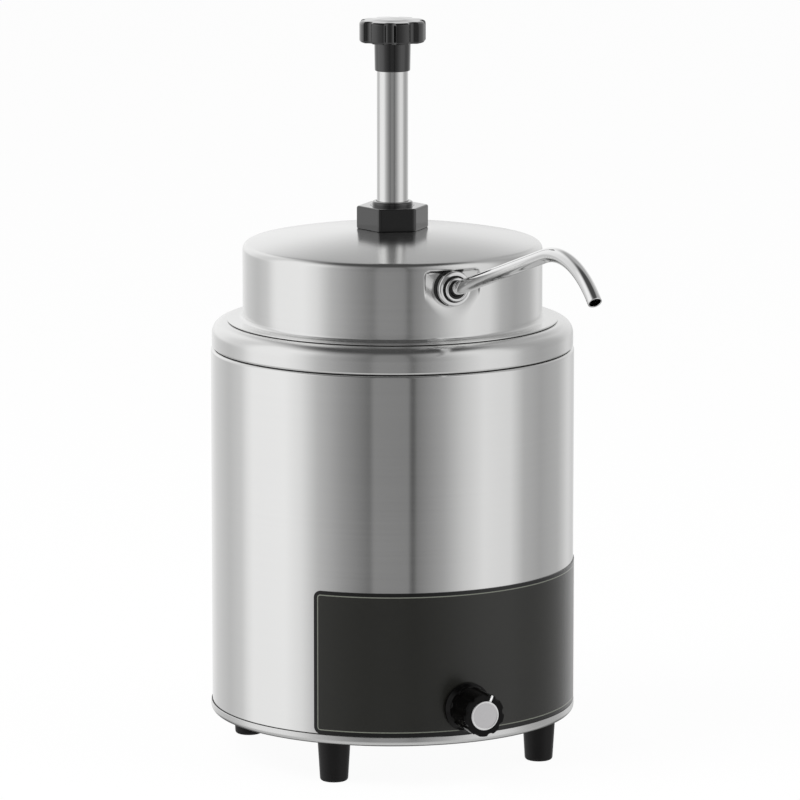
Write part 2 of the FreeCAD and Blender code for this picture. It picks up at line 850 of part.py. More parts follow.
def make_brackets():
    """Angle brackets inside the jacket, and the screws that close the pan on them."""
    brackets, screws = [], []
    back = r.bracket_back
    for index, (x, y, angle) in enumerate(spots_on_circle(r.bracket_circle, PAN_BRACKETS, FIRST_BRACKET_ANGLE)):
        step_in = back - d.bracket_step
        step_up = z.pan_floor + d.bracket_rise
        bar_outline = rounded([
            (back - d.bracket_foot, z.pan_floor),
            (step_in, z.pan_floor),
            (step_in, step_up),
            (back, step_up),
            (back, z.pan_floor + d.bracket_height),
            (back - d.bracket_wall, z.pan_floor + d.bracket_height),
            (back - d.bracket_wall, step_up + d.bracket_wall),
            (step_in - d.bracket_wall, step_up + d.bracket_wall),
            (step_in - d.bracket_wall, z.pan_floor + d.bracket_wall),
            (back - d.bracket_foot, z.pan_floor + d.bracket_wall),
        ])
        angle_bar = extruded(f"bracket_bar_{index}", bar_outline, d.bracket_width, "XZ_Plane")
        side = Rotation(Vector(0, 0, 1), angle)
        shift = d.bracket_width * HALF_SHARE
        sine, cosine = math.sin(math.radians(angle)), math.cos(math.radians(angle))
        place(angle_bar, -(shift * sine), shift * cosine, ZERO, side)
        inside = disc(f"bracket_limit_{index}", back, d.foot_height + d.bracket_height + d.pan_depth)
        trimmed = common(f"bracket_trim_{index}", angle_bar, inside)
        hole = disc(f"bracket_hole_{index}", d.pan_screw_radius + d.socket_clearance, d.foot_height, x, y, z.pan_bottom)
        brackets.append(drilled(f"bracket_{index}", trimmed, [hole]))
        head = z.pan_bottom - d.pan_screw_head
        top = z.pan_floor + d.bracket_wall + d.thread_end
        screws.append(place(turned(f"pan_screw_{index}", rounded([
            (ZERO, head),
            (d.pan_screw_head_radius, head, d.pan_screw_head * HALF_SHARE),
            (d.pan_screw_head_radius, z.pan_bottom),
            (d.pan_screw_radius, z.pan_bottom),
            (d.pan_screw_radius, top),
            (ZERO, top),
        ])), x, y))
    group("pan_brackets", brackets)
    group("pan_screws", screws)


# Heater under the well


def make_heater():
    """Insulation, spreader plate, ring element with its legs, clamp bar, stud and nut."""
    inner = r.well_outside
    outer = inner + d.sleeve_thickness
    base = z.well_floor + d.sleeve_foot
    top = z.jacket_top - d.sleeve_headroom
    ring("insulation_sleeve", inner, outer, top - base, base)
    hole = d.stud_radius + d.screw_clearance
    ring("heat_spreader", hole, d.spreader_radius, d.spreader_thickness, z.spreader_bottom)
    element = doc.addObject("Part::Torus", "element_ring")
    bind(element, Radius1=d.element_circle, Radius2=d.element_radius, Angle3=d.element_sweep)
    half_gap = (360 - SIZES["element_sweep"]) / 2
    place(element, height=z.element, turn=Rotation(Vector(0, 0, 1), 90 + half_gap))
    pieces = [element]
    for side in (-1, 1):
        angle = math.radians(90 + side * half_gap)
        x, y = d.element_circle * math.cos(angle), d.element_circle * math.sin(angle)
        pieces.append(ball(f"element_elbow_{side}", d.element_radius, x, y, z.element))
        pieces.append(disc(f"element_leg_{side}", d.element_radius, d.element_leg, x, y, z.element - d.element_leg))
        pin_base = z.element - d.element_leg - d.element_pin
        pin_height = d.element_pin + d.element_radius
        pieces.append(disc(f"element_pin_{side}", d.element_pin_radius, pin_height, x, y, pin_base))
    joined("heating_element", pieces)
    bar = rounded([
        (-d.clamp_reach, -d.clamp_width * HALF_SHARE, d.clamp_width * ROUND_SHARE),
        (d.clamp_reach, -d.clamp_width * HALF_SHARE, d.clamp_width * ROUND_SHARE),
        (d.clamp_reach, d.clamp_width * HALF_SHARE, d.clamp_width * ROUND_SHARE),
        (-d.clamp_reach, d.clamp_width * HALF_SHARE, d.clamp_width * ROUND_SHARE),
    ])
    plate = place(extruded("clamp_plate", bar, d.clamp_thickness), height=z.clamp_top - d.clamp_thickness)
    clamp_hole = disc("clamp_hole", hole, d.clamp_thickness * 3, base=z.clamp_top - d.clamp_thickness * 2)
    drilled("element_clamp", plate, [clamp_hole])
    disc("clamp_stud", d.stud_radius, d.stud_length, base=z.well_bottom - d.stud_length)
    nut_base = z.clamp_top - d.clamp_thickness - d.stud_nut_height
    hexagon("clamp_nut", d.stud_nut_across, d.stud_nut_height, d.stud_radius + d.socket_clearance, base=nut_base)


def make_sensors():
    """The thermostat's bulb in its clip, its capillary, and the cutout on its strap, all on the well's floor."""
    bulb_height = z.well_bottom - d.bulb_radius - d.element_gap
    bulb = disc("sensing_bulb", d.bulb_radius, d.bulb_length)
    place(bulb, -(d.bulb_length * HALF_SHARE), r.bulb, bulb_height, ALONG_X)
    inner = d.bulb_radius + d.element_gap
    outer = inner + d.clip_wall
    clip_base = bulb_height - outer
    outline = rounded([
        (-outer, clip_base),
        (outer, clip_base),
        (outer, z.well_bottom - d.clip_wall),
        (outer + d.clip_tab, z.well_bottom - d.clip_wall),
        (outer + d.clip_tab, z.well_bottom),
        (inner, z.well_bottom),
        (inner, bulb_height - inner),
        (-inner, bulb_height - inner),
        (-inner, z.well_bottom - d.clip_wall * HALF_SHARE),
        (-outer, z.well_bottom - d.clip_wall * HALF_SHARE),
    ])
    clip = extruded("bulb_clip", outline, d.clip_width, "YZ_Plane")
    place(clip, -(d.clip_width * HALF_SHARE), r.bulb, ZERO)
    cutout_base = z.well_bottom - d.cutout_height
    can = disc("cutout_can", d.cutout_radius, d.cutout_height, y=-r.cutout, base=cutout_base)
    strap = block("strap_bar", d.cutout_strap_length, d.cutout_strap_width, d.cutout_strap_wall, ZERO,
                  -r.cutout, cutout_base - d.cutout_strap_wall)
    legs = []
    for side in (-1, 1):
        x = (d.cutout_strap_length - d.cutout_strap_wall) * (HALF_SHARE * side)
        height = d.cutout_height + d.cutout_strap_wall
        legs.append(block(f"strap_leg_{side}", d.cutout_strap_wall, d.cutout_strap_width, height, x,
                          -r.cutout, cutout_base - d.cutout_strap_wall))
    joined("thermal_cutout", [can, strap, *legs])


# Dial, thermostat and wiring


def make_thermostat():
    """The thermostat on its mounting plate behind the jacket, with its screws."""
    half_plate = d.mount_plate_width * HALF_SHARE
    plate_front = (r.jacket_inside * r.jacket_inside - half_plate * half_plate).root() - d.mount_plate_gap
    plate_back = plate_front - d.mount_plate_wall
    half = d.thermostat_width * HALF_SHARE
    case = extruded("thermostat_case", rounded([
        (-half, -d.thermostat_height * HALF_SHARE, d.thermostat_corner),
        (half, -d.thermostat_height * HALF_SHARE, d.thermostat_corner),
        (half, d.thermostat_height * HALF_SHARE, d.thermostat_corner),
        (-half, d.thermostat_height * HALF_SHARE, d.thermostat_corner),
    ]), d.thermostat_depth)
    place(case, ZERO, -(plate_back - d.thermostat_depth), z.control, OUTWARD)
    bushing = disc("thermostat_bushing", d.bushing_radius, d.bushing_length + d.thermostat_corner)
    place(bushing, ZERO, -(plate_back - d.thermostat_corner), z.control, OUTWARD)
    whole = joined("thermostat_whole", [case, bushing])
    bore = disc("thermostat_bore", d.shaft_radius + d.shaft_clearance, d.shaft_depth + d.bushing_length * 2)
    place(bore, ZERO, -(plate_back - d.shaft_depth), z.control, OUTWARD)
    screw_holes = []
    screws = []
    for side in (-1, 1):
        x = d.mount_screw_pitch * (HALF_SHARE * side)
        hole = disc(f"thermostat_screw_hole_{side}", d.mount_screw_radius + d.socket_clearance, d.mount_screw_length)
        place(hole, x, -(plate_front - d.mount_screw_length), z.control, OUTWARD)
        screw_holes.append(hole)
        screw = turned(f"thermostat_screw_{side}", rounded([
            (ZERO, ZERO),
            (d.mount_screw_radius, ZERO),
            (d.mount_screw_radius, d.mount_screw_length - d.thread_end),
            (d.mount_screw_head_radius, d.mount_screw_length - d.thread_end),
            (d.mount_screw_head_radius, d.mount_screw_length - d.thread_end + d.mount_screw_head,
             d.mount_screw_head * HALF_SHARE),
            (ZERO, d.mount_screw_length - d.thread_end + d.mount_screw_head),
        ]))
        place(screw, x, -(plate_front - d.mount_screw_length + d.thread_end), z.control, OUTWARD)
        screws.append(screw)
    drilled("thermostat_body", whole, [bore, *screw_holes])
    group("thermostat_screws", screws)
    top = z.control + d.mount_plate_rise
    bracket = extruded("mount_bracket", rounded([
        (-plate_front, z.pan_floor),
        (-plate_back, z.pan_floor),
        (-plate_back, top),
        (-plate_front, top),
    ]), d.mount_plate_width, "YZ_Plane")
    place(bracket, -(d.mount_plate_width * HALF_SHARE))
    toe = block("mount_toe", d.mount_plate_width, d.mount_plate_foot, d.mount_plate_wall, ZERO,
                -(plate_back - d.mount_plate_foot * HALF_SHARE + d.mount_plate_wall * HALF_SHARE), z.pan_floor)
    plate = joined("mount_plate", [bracket, toe])
    cutters = [disc("mount_bushing_hole", d.bushing_radius + d.socket_clearance, d.mount_plate_wall * 3)]
    place(cutters[0], ZERO, -(plate_back - d.mount_plate_wall), z.control, OUTWARD)
    for side in (-1, 1):
        x = d.mount_screw_pitch * (HALF_SHARE * side)
        hole = disc(f"mount_hole_{side}", d.mount_screw_radius + d.socket_clearance, d.mount_plate_wall * 3)
        cutters.append(place(hole, x, -(plate_back - d.mount_plate_wall), z.control, OUTWARD))
    drilled("thermostat_bracket", plate, cutters)
    return plate_back


def make_dial(plate_back):
    """The dial outside the jacket: ribbed grip on a skirt, bright cap, pointer and shaft."""
    seat = r.jacket + d.panel_gap + d.panel_thickness + d.dial_gap
    top = d.dial_skirt_height
    grip = turned("dial_blank", rounded([
        (ZERO, d.dial_hollow_depth),
        (d.dial_hollow_radius, d.dial_hollow_depth),
        (d.dial_hollow_radius, ZERO),
        (d.dial_skirt_radius, ZERO),
        (d.dial_skirt_radius, d.dial_skirt_edge),
        (d.dial_grip_radius, top),
        (d.dial_grip_radius, d.dial_reach, d.dial_face_round),
        (d.cap_radius + d.socket_clearance, d.dial_reach),
        (d.cap_radius + d.socket_clearance, d.dial_reach - d.cap_recess),
        (ZERO, d.dial_reach - d.cap_recess),
    ]))
    place(grip, ZERO, -seat, z.control, OUTWARD)
    flutes = []
    for index in range(DIAL_FLUTES):
        angle = math.radians(90 - SIZES["pointer_angle"] + 360 * (index + 0.5) / DIAL_FLUTES)
        out = d.dial_grip_radius + d.dial_flute_radius - d.dial_flute_sink
        flute = disc(f"dial_flute_{index}", d.dial_flute_radius, d.dial_reach)
        place(flute, out * math.cos(angle), -(seat + top), z.control + out * math.sin(angle), OUTWARD)
        flutes.append(flute)
    socket = disc("dial_socket", d.shaft_radius, d.dial_reach * DIAL_SOCKET_SHARE)
    place(socket, ZERO, -seat, z.control, OUTWARD)
    drilled("control_dial", grip, [*flutes, socket])
    shaft_start = plate_back - d.shaft_depth + d.shaft_clearance
    shaft_end = seat + d.dial_reach * DIAL_SOCKET_SHARE
    shaft = disc("dial_shaft", d.shaft_radius, shaft_end - shaft_start)
    place(shaft, ZERO, -shaft_start, z.control, OUTWARD)
    face = seat + d.dial_reach
    cap = turned("dial_cap", rounded([
        (ZERO, ZERO),
        (d.cap_radius, ZERO),
        (d.cap_radius, d.cap_height, d.cap_round),
        (ZERO, d.cap_height),
    ]))
    place(cap, ZERO, -(face - d.cap_recess), z.control, OUTWARD)
    pointer = block("dial_pointer", d.pointer_width, d.pointer_length, d.pointer_height, ZERO, ZERO, ZERO)
    lean = math.radians(SIZES["pointer_angle"])
    start = d.cap_radius + d.cap_recess * HALF_SHARE
    across, along = start * math.sin(lean), start * math.cos(lean)
    left = d.pointer_width * HALF_SHARE
    turn = OUTWARD * Rotation(Vector(0, 0, 1), -SIZES["pointer_angle"])
    place(pointer, across - left * math.cos(lean), -face, z.control + along + left * math.sin(lean), turn)


def make_wiring(plate_back):
    """Terminal block, its screws, the element's leads and the thermostat's capillary."""
    base = z.pan_floor
    body = block("terminal_blank", d.terminal_length, d.terminal_depth, d.terminal_height, d.terminal_across,
                 d.terminal_back, base)
    wells, screws = [], []
    for index in range(TERMINALS):
        x = d.terminal_across + d.terminal_pitch * (index - (TERMINALS - 1) / 2)
        floor = base + d.terminal_height - d.terminal_screw_sink
        radius = d.terminal_screw_radius + d.screw_clearance
        wells.append(disc(f"terminal_well_{index}", radius, d.terminal_height, x, d.terminal_back, floor))
        screws.append(disc(f"terminal_screw_{index}", d.terminal_screw_radius, d.terminal_screw_height, x,
                           d.terminal_back, floor))
    drilled("terminal_block", body, wells)
    group("terminal_screws", screws)
    half_gap = (360 - SIZES["element_sweep"]) / 2
    leads = []
    pin_tip = z.element.value - d.element_leg.value - d.element_pin.value
    entry = base.value + d.terminal_height.value * HALF_SHARE
    face = d.terminal_back.value + d.terminal_depth.value * HALF_SHARE
    for side in (-1, 1):
        angle = math.radians(90 + side * half_gap)
        x, y = d.element_circle.value * math.cos(angle), d.element_circle.value * math.sin(angle)
        target = d.terminal_across.value + d.terminal_pitch.value * (HALF_SHARE - side * HALF_SHARE)
        run = d.lead_bend.value * LEAD_RUN_SHARE
        level = entry + (run if side < 0 else 0)
        back = y + (run if side > 0 else 0)
        points = [Vector(x, y, pin_tip), Vector(x, y, level), Vector(x, back, level)]
        points = points if side > 0 else points[:2]
        points += [Vector(target, back if side > 0 else y, level)]
        if side < 0:
            points += [Vector(target, y, entry)]
        points += [Vector(target, face, entry)]
        leads.append(rod_along(path(points, [d.lead_bend.value] * (len(points) - 2)), d.lead_radius.value))
    shaped("heater_leads", Part.makeCompound(leads))
    bulb_height = z.well_bottom.value - d.bulb_radius.value - d.element_gap.value
    start = Vector(-d.bulb_length.value / 2, r.bulb.value, bulb_height)
    drop = z.control.value
    bend = min(d.capillary_bend.value, abs(bulb_height - drop) * BEND_ROOM_SHARE)
    side_x = -(d.spreader_radius.value + d.capillary_bend.value * CAPILLARY_SIDE_SHARE)
    rear = -(plate_back.value - d.thermostat_depth.value)
    run = d.capillary_bend.value * CAPILLARY_RUN_SHARE
    entry_x = d.thermostat_width.value * CAPILLARY_ENTRY_SHARE
    points = [
        start,
        Vector(side_x, start.y, start.z),
        Vector(side_x, start.y - run, start.z),
        Vector(side_x, start.y - run, drop),
        Vector(side_x, rear + run, drop),
        Vector(-entry_x, rear + run, drop),
        Vector(-entry_x, rear, drop),
    ]
    shaped("capillary_tube", rod_along(path(points, [bend] * (len(points) - 2)), d.capillary_radius.value))


def make_gland():
    """The supply cord's inlet low on the back, with its nut inside the jacket."""
    seat = r.jacket
    outline = rounded([
        (d.gland_bore, -d.gland_length),
        (d.gland_radius, -d.gland_length),
        (d.gland_radius, ZERO),
        (d.gland_flange_radius, ZERO),
        (d.gland_flange_radius, d.gland_flange),
        (d.gland_neck_radius, d.gland_flange),
        (d.gland_neck_radius, d.gland_flange + d.gland_neck, d.gland_neck * NECK_ROUND_SHARE),
        (d.gland_bore, d.gland_flange + d.gland_neck),
    ])
    place(turned("cord_gland", outline), ZERO, seat, z.control, BACKWARD)
    nut_outer = r.jacket_inside - d.socket_clearance
    half_share = HALF_SHARE / math.cos(math.radians(30))
    half = d.gland_nut_across * half_share
    nut_seat = (nut_outer * nut_outer - half * half).root()
    hexagon("gland_nut", d.gland_nut_across, d.gland_nut_height, d.gland_radius + d.socket_clearance, ZERO,
            nut_seat - d.gland_nut_height, z.control, BACKWARD)


# Lid and spout


def lid_outline():
    """Outline of the lid's sheet: domed top, wall, lip and the skirt that drops into the well."""
    x_outer = dome.corner_radius * dome.outer_share
    y_outer = dome.centre + (dome.corner_centre - dome.centre) * dome.outer_share
    x_inner = dome.corner_radius * dome.inner_share
    y_inner = dome.centre + (dome.corner_centre - dome.centre) * dome.inner_share
    hole = d.head_neck_radius + d.thread_clearance
    half = d.lip_thickness * HALF_SHARE
    return [
        (hole, z.land_inside, None),
        (d.collar_land, z.land_inside, (dome.inner, False)),
        (x_inner, y_inner, (dome.inner_corner, False)),
        (r.lid_inside, dome.corner_centre, None),
        (r.lid_inside, z.lip_top, None),
        (r.skirt - d.lid_wall, z.lip_top, None),
        (r.skirt - d.lid_wall, z.rim_top - d.skirt_depth, None),
        (r.skirt, z.rim_top - d.skirt_depth, None),
        (r.skirt, z.rim_top, None),
        (r.lip - half, z.rim_top, (half, True)),
        (r.lip, z.rim_top + half, (half, True)),
        (r.lip - half, z.lip_top, None),
        (r.lid + d.lip_fillet, z.lip_top, (d.lip_fillet, False)),
        (r.lid, z.lip_top + d.lip_fillet, None),
        (r.lid, dome.corner_centre, (d.lid_corner, True)),
        (x_outer, y_outer, (d.lid_dome, True)),
        (d.collar_land, z.land, None),
        (hole, z.land, None),
    ]


def make_lid():
    """The drawn lid with a flat pocket pressed in its wall round the spout's fitting."""
    shell = turned("lid_shell", lid_outline())
    envelope = disc("pocket_envelope", r.lid, d.lid_height, base=z.lip_top + d.lip_fillet)
    top = z.crown - d.pocket_top
    depth = d.pocket_inset + d.lid_wall
    tray_height = d.pocket_height + d.lid_wall * 2
    tray = block("pocket_tray", d.pocket_width + d.lid_wall * 2, depth, tray_height, ZERO,
                 -(r.pocket_inside + depth * HALF_SHARE), top - d.pocket_height - d.lid_wall)
    half = d.pocket_width * HALF_SHARE
    window = extruded("pocket_window", rounded([
        (-half, top - d.pocket_height, d.pocket_corner),
        (half, top - d.pocket_height, d.pocket_corner),
        (half, top, d.pocket_corner),
        (-half, top, d.pocket_corner),
    ]), depth * 4, "XZ_Plane")
    place(window, ZERO, -r.pocket)
    panel = common("pocket_panel", tray, envelope)
    hole = disc("pocket_hole", d.fitting_body_radius + d.fitting_clearance, depth * 6)
    place(hole, ZERO, -(r.pocket_inside - depth), z.spout, OUTWARD)
    drilled("pump_lid", joined("lid_with_pocket", [shell, panel]), [window, hole])


def make_fitting():
    """The bulkhead fitting in the pocket, from the nut inside to the ring round the spout."""
    seat = r.pocket
    hole = d.fitting_body_radius + d.fitting_clearance
    ring("spout_gasket", hole, d.fitting_gasket_radius, d.fitting_gasket, z.spout, -seat, OUTWARD)
    nut_seat = seat + d.fitting_gasket
    edge = d.fitting_nut_edge
    groove_floor = d.fitting_nut_height - d.fitting_groove_depth
    nut = turned("spout_ring_nut", [
        (hole, ZERO, None),
        (d.fitting_nut_radius, ZERO, None),
        (d.fitting_nut_radius, d.fitting_nut_height - edge, (edge, True)),
        (d.fitting_nut_radius - edge, d.fitting_nut_height, None),
        (d.fitting_groove_radius, d.fitting_nut_height, None),
        (d.fitting_groove_radius, groove_floor, None),
        (hole, groove_floor, None),
    ])
    place(nut, ZERO, -nut_seat, z.spout, OUTWARD)
    ring_seat = nut_seat + groove_floor
    ferrule_height = d.fitting_groove_depth + d.fitting_ring_height
    ferrule = turned("spout_ferrule", rounded([
        (d.fitting_ring_bore, ZERO),
        (d.fitting_ring_radius, ZERO),
        (d.fitting_ring_radius, ferrule_height, d.fitting_ring_edge),
        (d.fitting_ring_bore, ferrule_height),
    ]))
    place(ferrule, ZERO, -ring_seat, z.spout, OUTWARD)
    body_start = ring_seat - d.fitting_body_length
    socket = d.fitting_body_length * BUSHING_SOCKET_SHARE
    inner = d.spout_radius + d.fitting_clearance
    riser = d.riser_radius + d.fitting_clearance
    bushing = turned("spout_bushing", rounded([
        (riser, ZERO),
        (d.fitting_body_radius, ZERO),
        (d.fitting_body_radius, d.fitting_body_length),
        (inner, d.fitting_body_length),
        (inner, socket),
        (riser, socket),
    ]))
    place(bushing, ZERO, -body_start, z.spout, OUTWARD)
    lock_seat = r.pocket_inside - d.fitting_lock_height
    hexagon("spout_lock_nut", d.fitting_lock_across, d.fitting_lock_height, hole, ZERO, -lock_seat, z.spout, OUTWARD)
    return body_start, socket


def make_spout(body_start, socket):
    """The bent spout tube, open from its root in the bushing to its mouth."""
    start = body_start.value + socket.value + d.fitting_clearance.value
    root = r.pocket.value + d.spout_root.value
    rise = math.radians(SIZES["spout_rise_angle"])
    drop = math.radians(SIZES["spout_drop_angle"])
    bend_reach = d.spout_bend.value * math.tan((rise + drop) / 2)
    run = d.spout_run.value
    knee = Vector(0, -(root + run * math.cos(rise)), z.spout.value + run * math.sin(rise))
    tip_run = bend_reach + d.spout_tip.value
    tip = knee + Vector(0, -tip_run * math.cos(drop), -tip_run * math.sin(drop))
    points = [Vector(0, -start, z.spout.value), Vector(0, -root, z.spout.value), knee, tip]
    wire = path(points, [d.spout_root_bend.value, d.spout_bend.value])
    outer = rod_along(wire, d.spout_radius.value)
    inner = rod_along(wire, d.spout_radius.value - d.spout_wall.value)
    shaped("spout_tube", outer.cut(inner))
    print(f"spout mouth at {tip.y:.2f}, {tip.z:.2f}, length {wire.Length:.1f}")


def make_riser(body_start, socket):
    """The tube from the valve body up and out to the fitting, and its nut on the boss."""
    offset = -d.riser_offset.value
    end = -(body_start.value + socket.value - d.fitting_clearance.value)
    points = [
        Vector(0, offset, z.riser_bottom.value + d.socket_clearance.value),
        Vector(0, offset, z.spout.value),
        Vector(0, end, z.spout.value),
    ]
    wire = path(points, [d.riser_bend.value])
    outer = rod_along(wire, d.riser_radius.value)
    inner = rod_along(wire, d.riser_radius.value - d.riser_wall.value)
    shaped("riser_tube", outer.cut(inner))
    bore = d.riser_radius + d.socket_clearance
    hexagon("riser_nut", d.riser_nut_across, d.riser_nut_height, bore, ZERO, -d.riser_offset, z.boss_top)


# Pump


def make_collar():
    """The hexagonal lock collar, chamfered at both ends, the thin ring on it and the wiper in the ring."""
    flat_share = math.cos(math.radians(30))
    corner = d.collar_across * HALF_SHARE / flat_share
    prism = bind(doc.addObject("Part::Prism", "collar_prism"), Circumradius=corner, Height=d.collar_height)
    prism.Polygon = 6
    place(prism, height=z.land, turn=Rotation(Vector(0, 0, 1), COLLAR_ANGLE))
    cut = d.collar_chamfer
    bore = d.head_neck_radius + d.thread_clearance
    blank = turned("collar_blank", rounded([
        (bore, z.land),
        (corner - cut, z.land),
        (corner, z.land + cut * COLLAR_CHAMFER_SHARE),
        (corner, z.collar_top - cut * COLLAR_CHAMFER_SHARE),
        (corner - cut, z.collar_top),
        (bore, z.collar_top),
    ]))
    common("lock_collar", prism, blank)
    inner = d.tube_radius + d.slide_clearance
    neck_top = z.collar_top - d.head_neck_end
    wiper_top = neck_top + d.wiper_height
    # The ring is a cap over the wiper, so its foot reaches down inside the collar
    turned("collar_ring", rounded([
        (inner, wiper_top),
        (d.head_neck_radius, wiper_top),
        (d.head_neck_radius, z.collar_top),
        (d.collar_ring_radius, z.collar_top),
        (d.collar_ring_radius, z.ring_top, d.collar_ring_round),
        (inner, z.ring_top),
    ]))
    ring("wiper_seal", d.tube_radius + d.shaft_clearance, d.head_neck_radius, d.wiper_height, neck_top)


def make_pump_body():
    """Head, wiper, cylinder, spring seat and return spring."""
    inner = d.tube_radius + d.slide_clearance
    socket_outside = socket_radius + d.head_socket_wall
    neck_top = z.collar_top - d.head_neck_end
    turned("pump_head", rounded([
        (inner, z.cylinder_top),
        (socket_radius, z.cylinder_top),
        (socket_radius, z.head_bottom),
        (socket_outside, z.head_bottom),
        (socket_outside, z.cylinder_top),
        (d.head_flange_radius, z.cylinder_top),
        (d.head_flange_radius, z.land_inside),
        (d.head_neck_radius, z.land_inside),
        (d.head_neck_radius, neck_top),
        (inner, neck_top),
    ]))
    ring("pump_cylinder", d.cylinder_bore, cylinder_outside, d.cylinder_length - d.socket_clearance,
         z.cylinder_bottom)
    ring("spring_seat", d.rod_radius + d.slide_clearance, d.cylinder_bore, d.spring_seat_height, z.seat_bottom)


def biarc(start, start_way, end, end_way):
    """Two tangent arcs from one point and direction to the next."""
    chord = end - start
    ways = start_way + end_way
    twice = 2 * (1 - start_way.dot(end_way))
    pull = (-chord.dot(ways) + math.sqrt(chord.dot(ways) ** 2 + twice * chord.dot(chord))) / twice
    joint = (start + start_way * pull + end - end_way * pull) * HALF_SHARE
    return [arc_by_tangent(start, start_way, joint), arc_by_tangent(end, end_way * -1, joint)[::-1]]


def arc_by_tangent(start, way, end):
    """Start, middle and end of the arc that leaves start in a direction and reaches end."""
    chord = end - start
    along = Vector(chord).normalize()
    side = way - along * way.dot(along)
    half_angle = way.getAngle(chord) / 2
    middle = (start + end) * HALF_SHARE + side.normalize() * (chord.Length / 2 * math.tan(half_angle))
    return (start, middle, end)


def make_spring():
    """The return spring: one unbroken wire, its end turns closed up, from the seat to the plunger's foot."""
    wire_radius, coil_radius = d.spring_wire.value, d.spring_radius.value
    bottom = z.seat_top.value + wire_radius + d.spring_rest_gap.value
    top = z.foot_bottom.value - wire_radius - d.spring_rest_gap.value
    closed = 2 * wire_radius + d.spring_end_gap.value
    open_turns = SPRING_TURNS - 2 * SPRING_END_TURNS
    open_pitch = (top - bottom - 2 * SPRING_END_TURNS * closed) / open_turns
    steps = SPRING_TURNS * STEPS_PER_TURN
    end_steps = SPRING_END_TURNS * STEPS_PER_TURN
    pitches = [closed if index < end_steps or index >= steps - end_steps else open_pitch for index in range(steps)]
    heights = [bottom]
    for pitch in pitches:
        heights.append(heights[-1] + pitch / STEPS_PER_TURN)
    angle_step = 2 * math.pi / STEPS_PER_TURN
    spots, ways = [], []
    for index, height in enumerate(heights):
        angle = index * angle_step
        spots.append(Vector(coil_radius * math.cos(angle), coil_radius * math.sin(angle), height))
        near = [pitches[max(index - 1, 0)], pitches[min(index, steps - 1)]]
        climb = sum(near) / 2 / (2 * math.pi)
        ways.append(Vector(-coil_radius * math.sin(angle), coil_radius * math.cos(angle), climb).normalize())
    edges = []
    for index in range(steps):
        for arc in biarc(spots[index], ways[index], spots[index + 1], ways[index + 1]):
            edges.append(Part.Arc(*arc).toShape())
    wire = Part.Wire(edges)
    spring = rod_along(wire, wire_radius)
    shaped("return_spring", spring)
    samples = [(index / STEPS_PER_TURN, height) for index, height in enumerate(heights)]
    least = min(
        upper[1] - lower[1] - 2 * wire_radius
        for lower, upper in zip(samples, samples[STEPS_PER_TURN:])
    )
    print(f"return spring: {SPRING_TURNS} turns, least gap to itself {least:.2f}")


def make_plunger():
    """Everything that the hand pushes down: knob, tube, foot, rod, piston, seal and nut."""
    socket_top = z.hub_bottom + d.hub_socket_depth
    socket = d.tube_radius + d.socket_clearance
    ring("plunger_tube", d.tube_radius - d.tube_wall, d.tube_radius, socket_top - z.foot_top, z.foot_top)
    blank = turned("knob_blank", rounded([
        (socket, z.hub_bottom),
        (d.hub_radius, z.hub_bottom, (d.hub_radius - socket) * HUB_LIP_SHARE),
        (d.hub_radius, z.knob_bottom),
        (d.knob_radius, z.knob_bottom, d.knob_edge * KNOB_UNDERSIDE_SHARE),
        (d.knob_radius, z.knob_bottom + d.knob_height, d.knob_edge),
        (d.hub_radius, z.knob_bottom + d.knob_height),
        (d.hub_radius - d.knob_crown, z.knob_bottom + d.knob_height + d.knob_crown),
        (ZERO, z.knob_bottom + d.knob_height + d.knob_crown),
        (ZERO, socket_top),
        (socket, socket_top),
    ]))
    scallops = []
    out = d.knob_radius + d.knob_scallop_radius - d.knob_scallop_depth
    for index, (x, y, _) in enumerate(spots_on_circle(out, KNOB_LOBES, FIRST_SCALLOP_ANGLE)):
        height = d.knob_height + d.knob_crown * 4
        scallops.append(disc(f"knob_scallop_{index}", d.knob_scallop_radius, height, x, y,
                             z.knob_bottom - d.knob_crown))
    drilled("plunger_knob", blank, scallops)
    spigot = d.tube_radius - d.tube_wall - d.socket_clearance
    rod_socket = z.foot_top + d.plunger_spigot * HALF_SHARE
    turned("plunger_foot", rounded([
        (d.rod_radius + d.socket_clearance, z.foot_bottom),
        (d.plunger_foot_radius, z.foot_bottom),
        (d.plunger_foot_radius, z.foot_top),
        (spigot, z.foot_top),
        (spigot, z.foot_top + d.plunger_spigot),
        (ZERO, z.foot_top + d.plunger_spigot),
        (ZERO, rod_socket),
        (d.rod_radius + d.socket_clearance, rod_socket),
    ]))
    rod_end = z.piston_bottom - d.rod_nut_height - d.thread_end
    disc("piston_rod", d.rod_radius, rod_socket - rod_end, base=rod_end)
    bore = d.rod_radius + d.socket_clearance
    seal_low = z.piston_bottom + (d.piston_height - d.seal_height) * HALF_SHARE
    floor = d.seal_radius - d.seal_depth
    turned("piston", rounded([
        (bore, z.piston_bottom),
        (d.piston_radius, z.piston_bottom),
        (d.piston_radius, seal_low),
        (floor, seal_low),
        (floor, seal_low + d.seal_height),
        (d.piston_radius, seal_low + d.seal_height),
        (d.piston_radius, z.piston_top),
        (bore, z.piston_top),
    ]))
    gap = d.socket_clearance
    ring("piston_seal", floor + gap, d.seal_radius, d.seal_height - gap * 2, seal_low + gap)
    hexagon("piston_nut", d.rod_nut_across, d.rod_nut_height, bore, base=z.piston_bottom - d.rod_nut_height)


